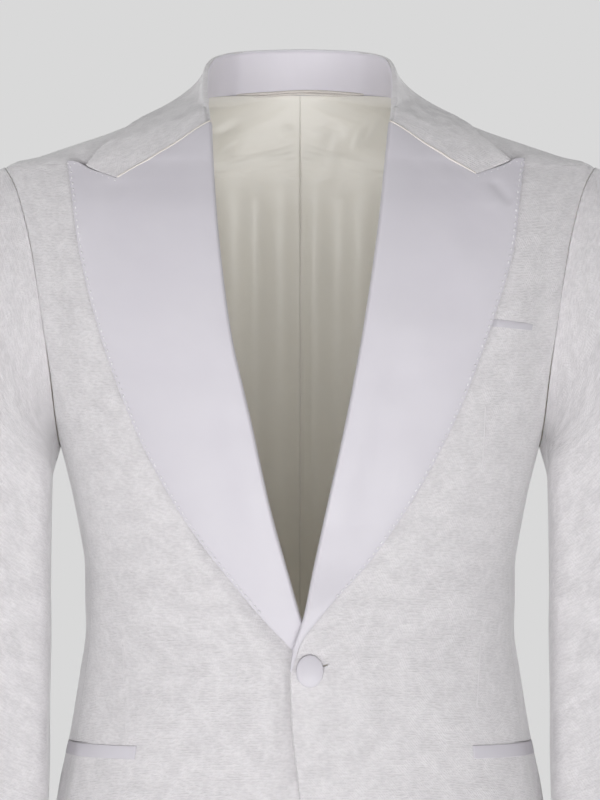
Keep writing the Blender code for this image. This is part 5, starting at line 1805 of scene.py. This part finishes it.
# %% Camera
CAMERA_PLACE, CAMERA_LENS, SENSOR = (0.0, -3.13, -0.237), 180.0, 36.0
camera = bpy.data.objects.new("camera", bpy.data.cameras.new("camera"))
camera.location = CAMERA_PLACE
camera.rotation_euler = (np.pi / 2, 0, 0)
camera.data.lens, camera.data.sensor_width, camera.data.sensor_fit = CAMERA_LENS, SENSOR, "AUTO"
bpy.context.scene.collection.objects.link(camera)
bpy.context.scene.camera = camera
print("camera at", CAMERA_PLACE)

# %% Light and floor
BACKDROP, FRONT, BESIDE, ABOVE, BELOW = 0.694, 0.46, 0.56, 0.15, 0.5
LAMPS = (
    # place, width and height in metres, watts
    ((0.0, -3.0, -1.15), 3.0, 0.8, 57.0),
    ((0.0, -1.7, -1.1), 1.2, 1.2, 2.5),
    ((1.7, -2.9, -0.9), 1.8, 1.8, 8.5),
    ((-3.0, -0.8, 0.2), 1.6, 1.6, 12.0),
    ((0.0, 0.9, 1.9), 1.6, 1.2, 19.0),
)
AIM = np.array([0.0, 0.0, -0.3])
FLOOR_HEIGHT, FLOOR_RADIUS = -1.45, 5.0


def studio_world():
    """An even grey all round: bright behind the jacket, dimmer beside and above it."""
    world = bpy.data.worlds.new("studio")
    world.use_nodes = True
    tree = world.node_tree
    way = add(tree, "ShaderNodeTexCoord").outputs["Generated"]
    way = add(tree, "ShaderNodeSeparateXYZ", {0: way})
    aside = add(tree, "ShaderNodeMath", {0: way.outputs[0]}, operation="ABSOLUTE").outputs[0]
    level = FRONT
    for share, low, high, towards in (
        (aside, 0.2, 0.8, BESIDE),
        (way.outputs[1], -0.15, 0.55, BACKDROP),
        (way.outputs[2], 0.15, 0.55, ABOVE),
        (way.outputs[2], -0.15, -0.55, BELOW),
    ):
        blend = add(tree, "ShaderNodeMix", {0: steps_between(tree, share, low, high)})
        blend.inputs[3].default_value = towards
        if level is FRONT:
            blend.inputs[2].default_value = level
        else:
            tree.links.new(level, blend.inputs[2])
        level = blend.outputs[0]
    tree.links.new(level, tree.nodes["Background"].inputs[0])
    return world


bpy.context.scene.world = studio_world()


def add_lamp(number, place, width, height, power):
    lamp = bpy.data.objects.new(f"lamp_{number}", bpy.data.lights.new(f"lamp_{number}", "AREA"))
    lamp.data.shape = "RECTANGLE"
    lamp.data.size, lamp.data.size_y, lamp.data.energy = width, height, power
    lamp.location = place
    x, y, z = unit(AIM - np.array(place))
    lamp.rotation_euler = (np.arccos(-z), 0.0, np.arctan2(-x, y))
    lamp.visible_camera = False
    bpy.context.scene.collection.objects.link(lamp)


for number, lamp in enumerate(LAMPS, 1):
    add_lamp(number, *lamp)
shape = bmesh.new()
bmesh.ops.create_circle(shape, cap_ends=True, segments=96, radius=FLOOR_RADIUS)
bmesh.ops.translate(shape, verts=shape.verts, vec=(0, 0, FLOOR_HEIGHT))
floor = bpy.data.objects.new("floor", bpy.data.meshes.new("floor"))
shape.to_mesh(floor.data)
shape.free()
floor.data.materials.append(new_finish("pale_floor", (0.75, 0.75, 0.75), 0.8)[0])
bpy.context.scene.collection.objects.link(floor)
bpy.context.scene.view_settings.view_transform = "Standard"
print("lamps:", len(LAMPS))
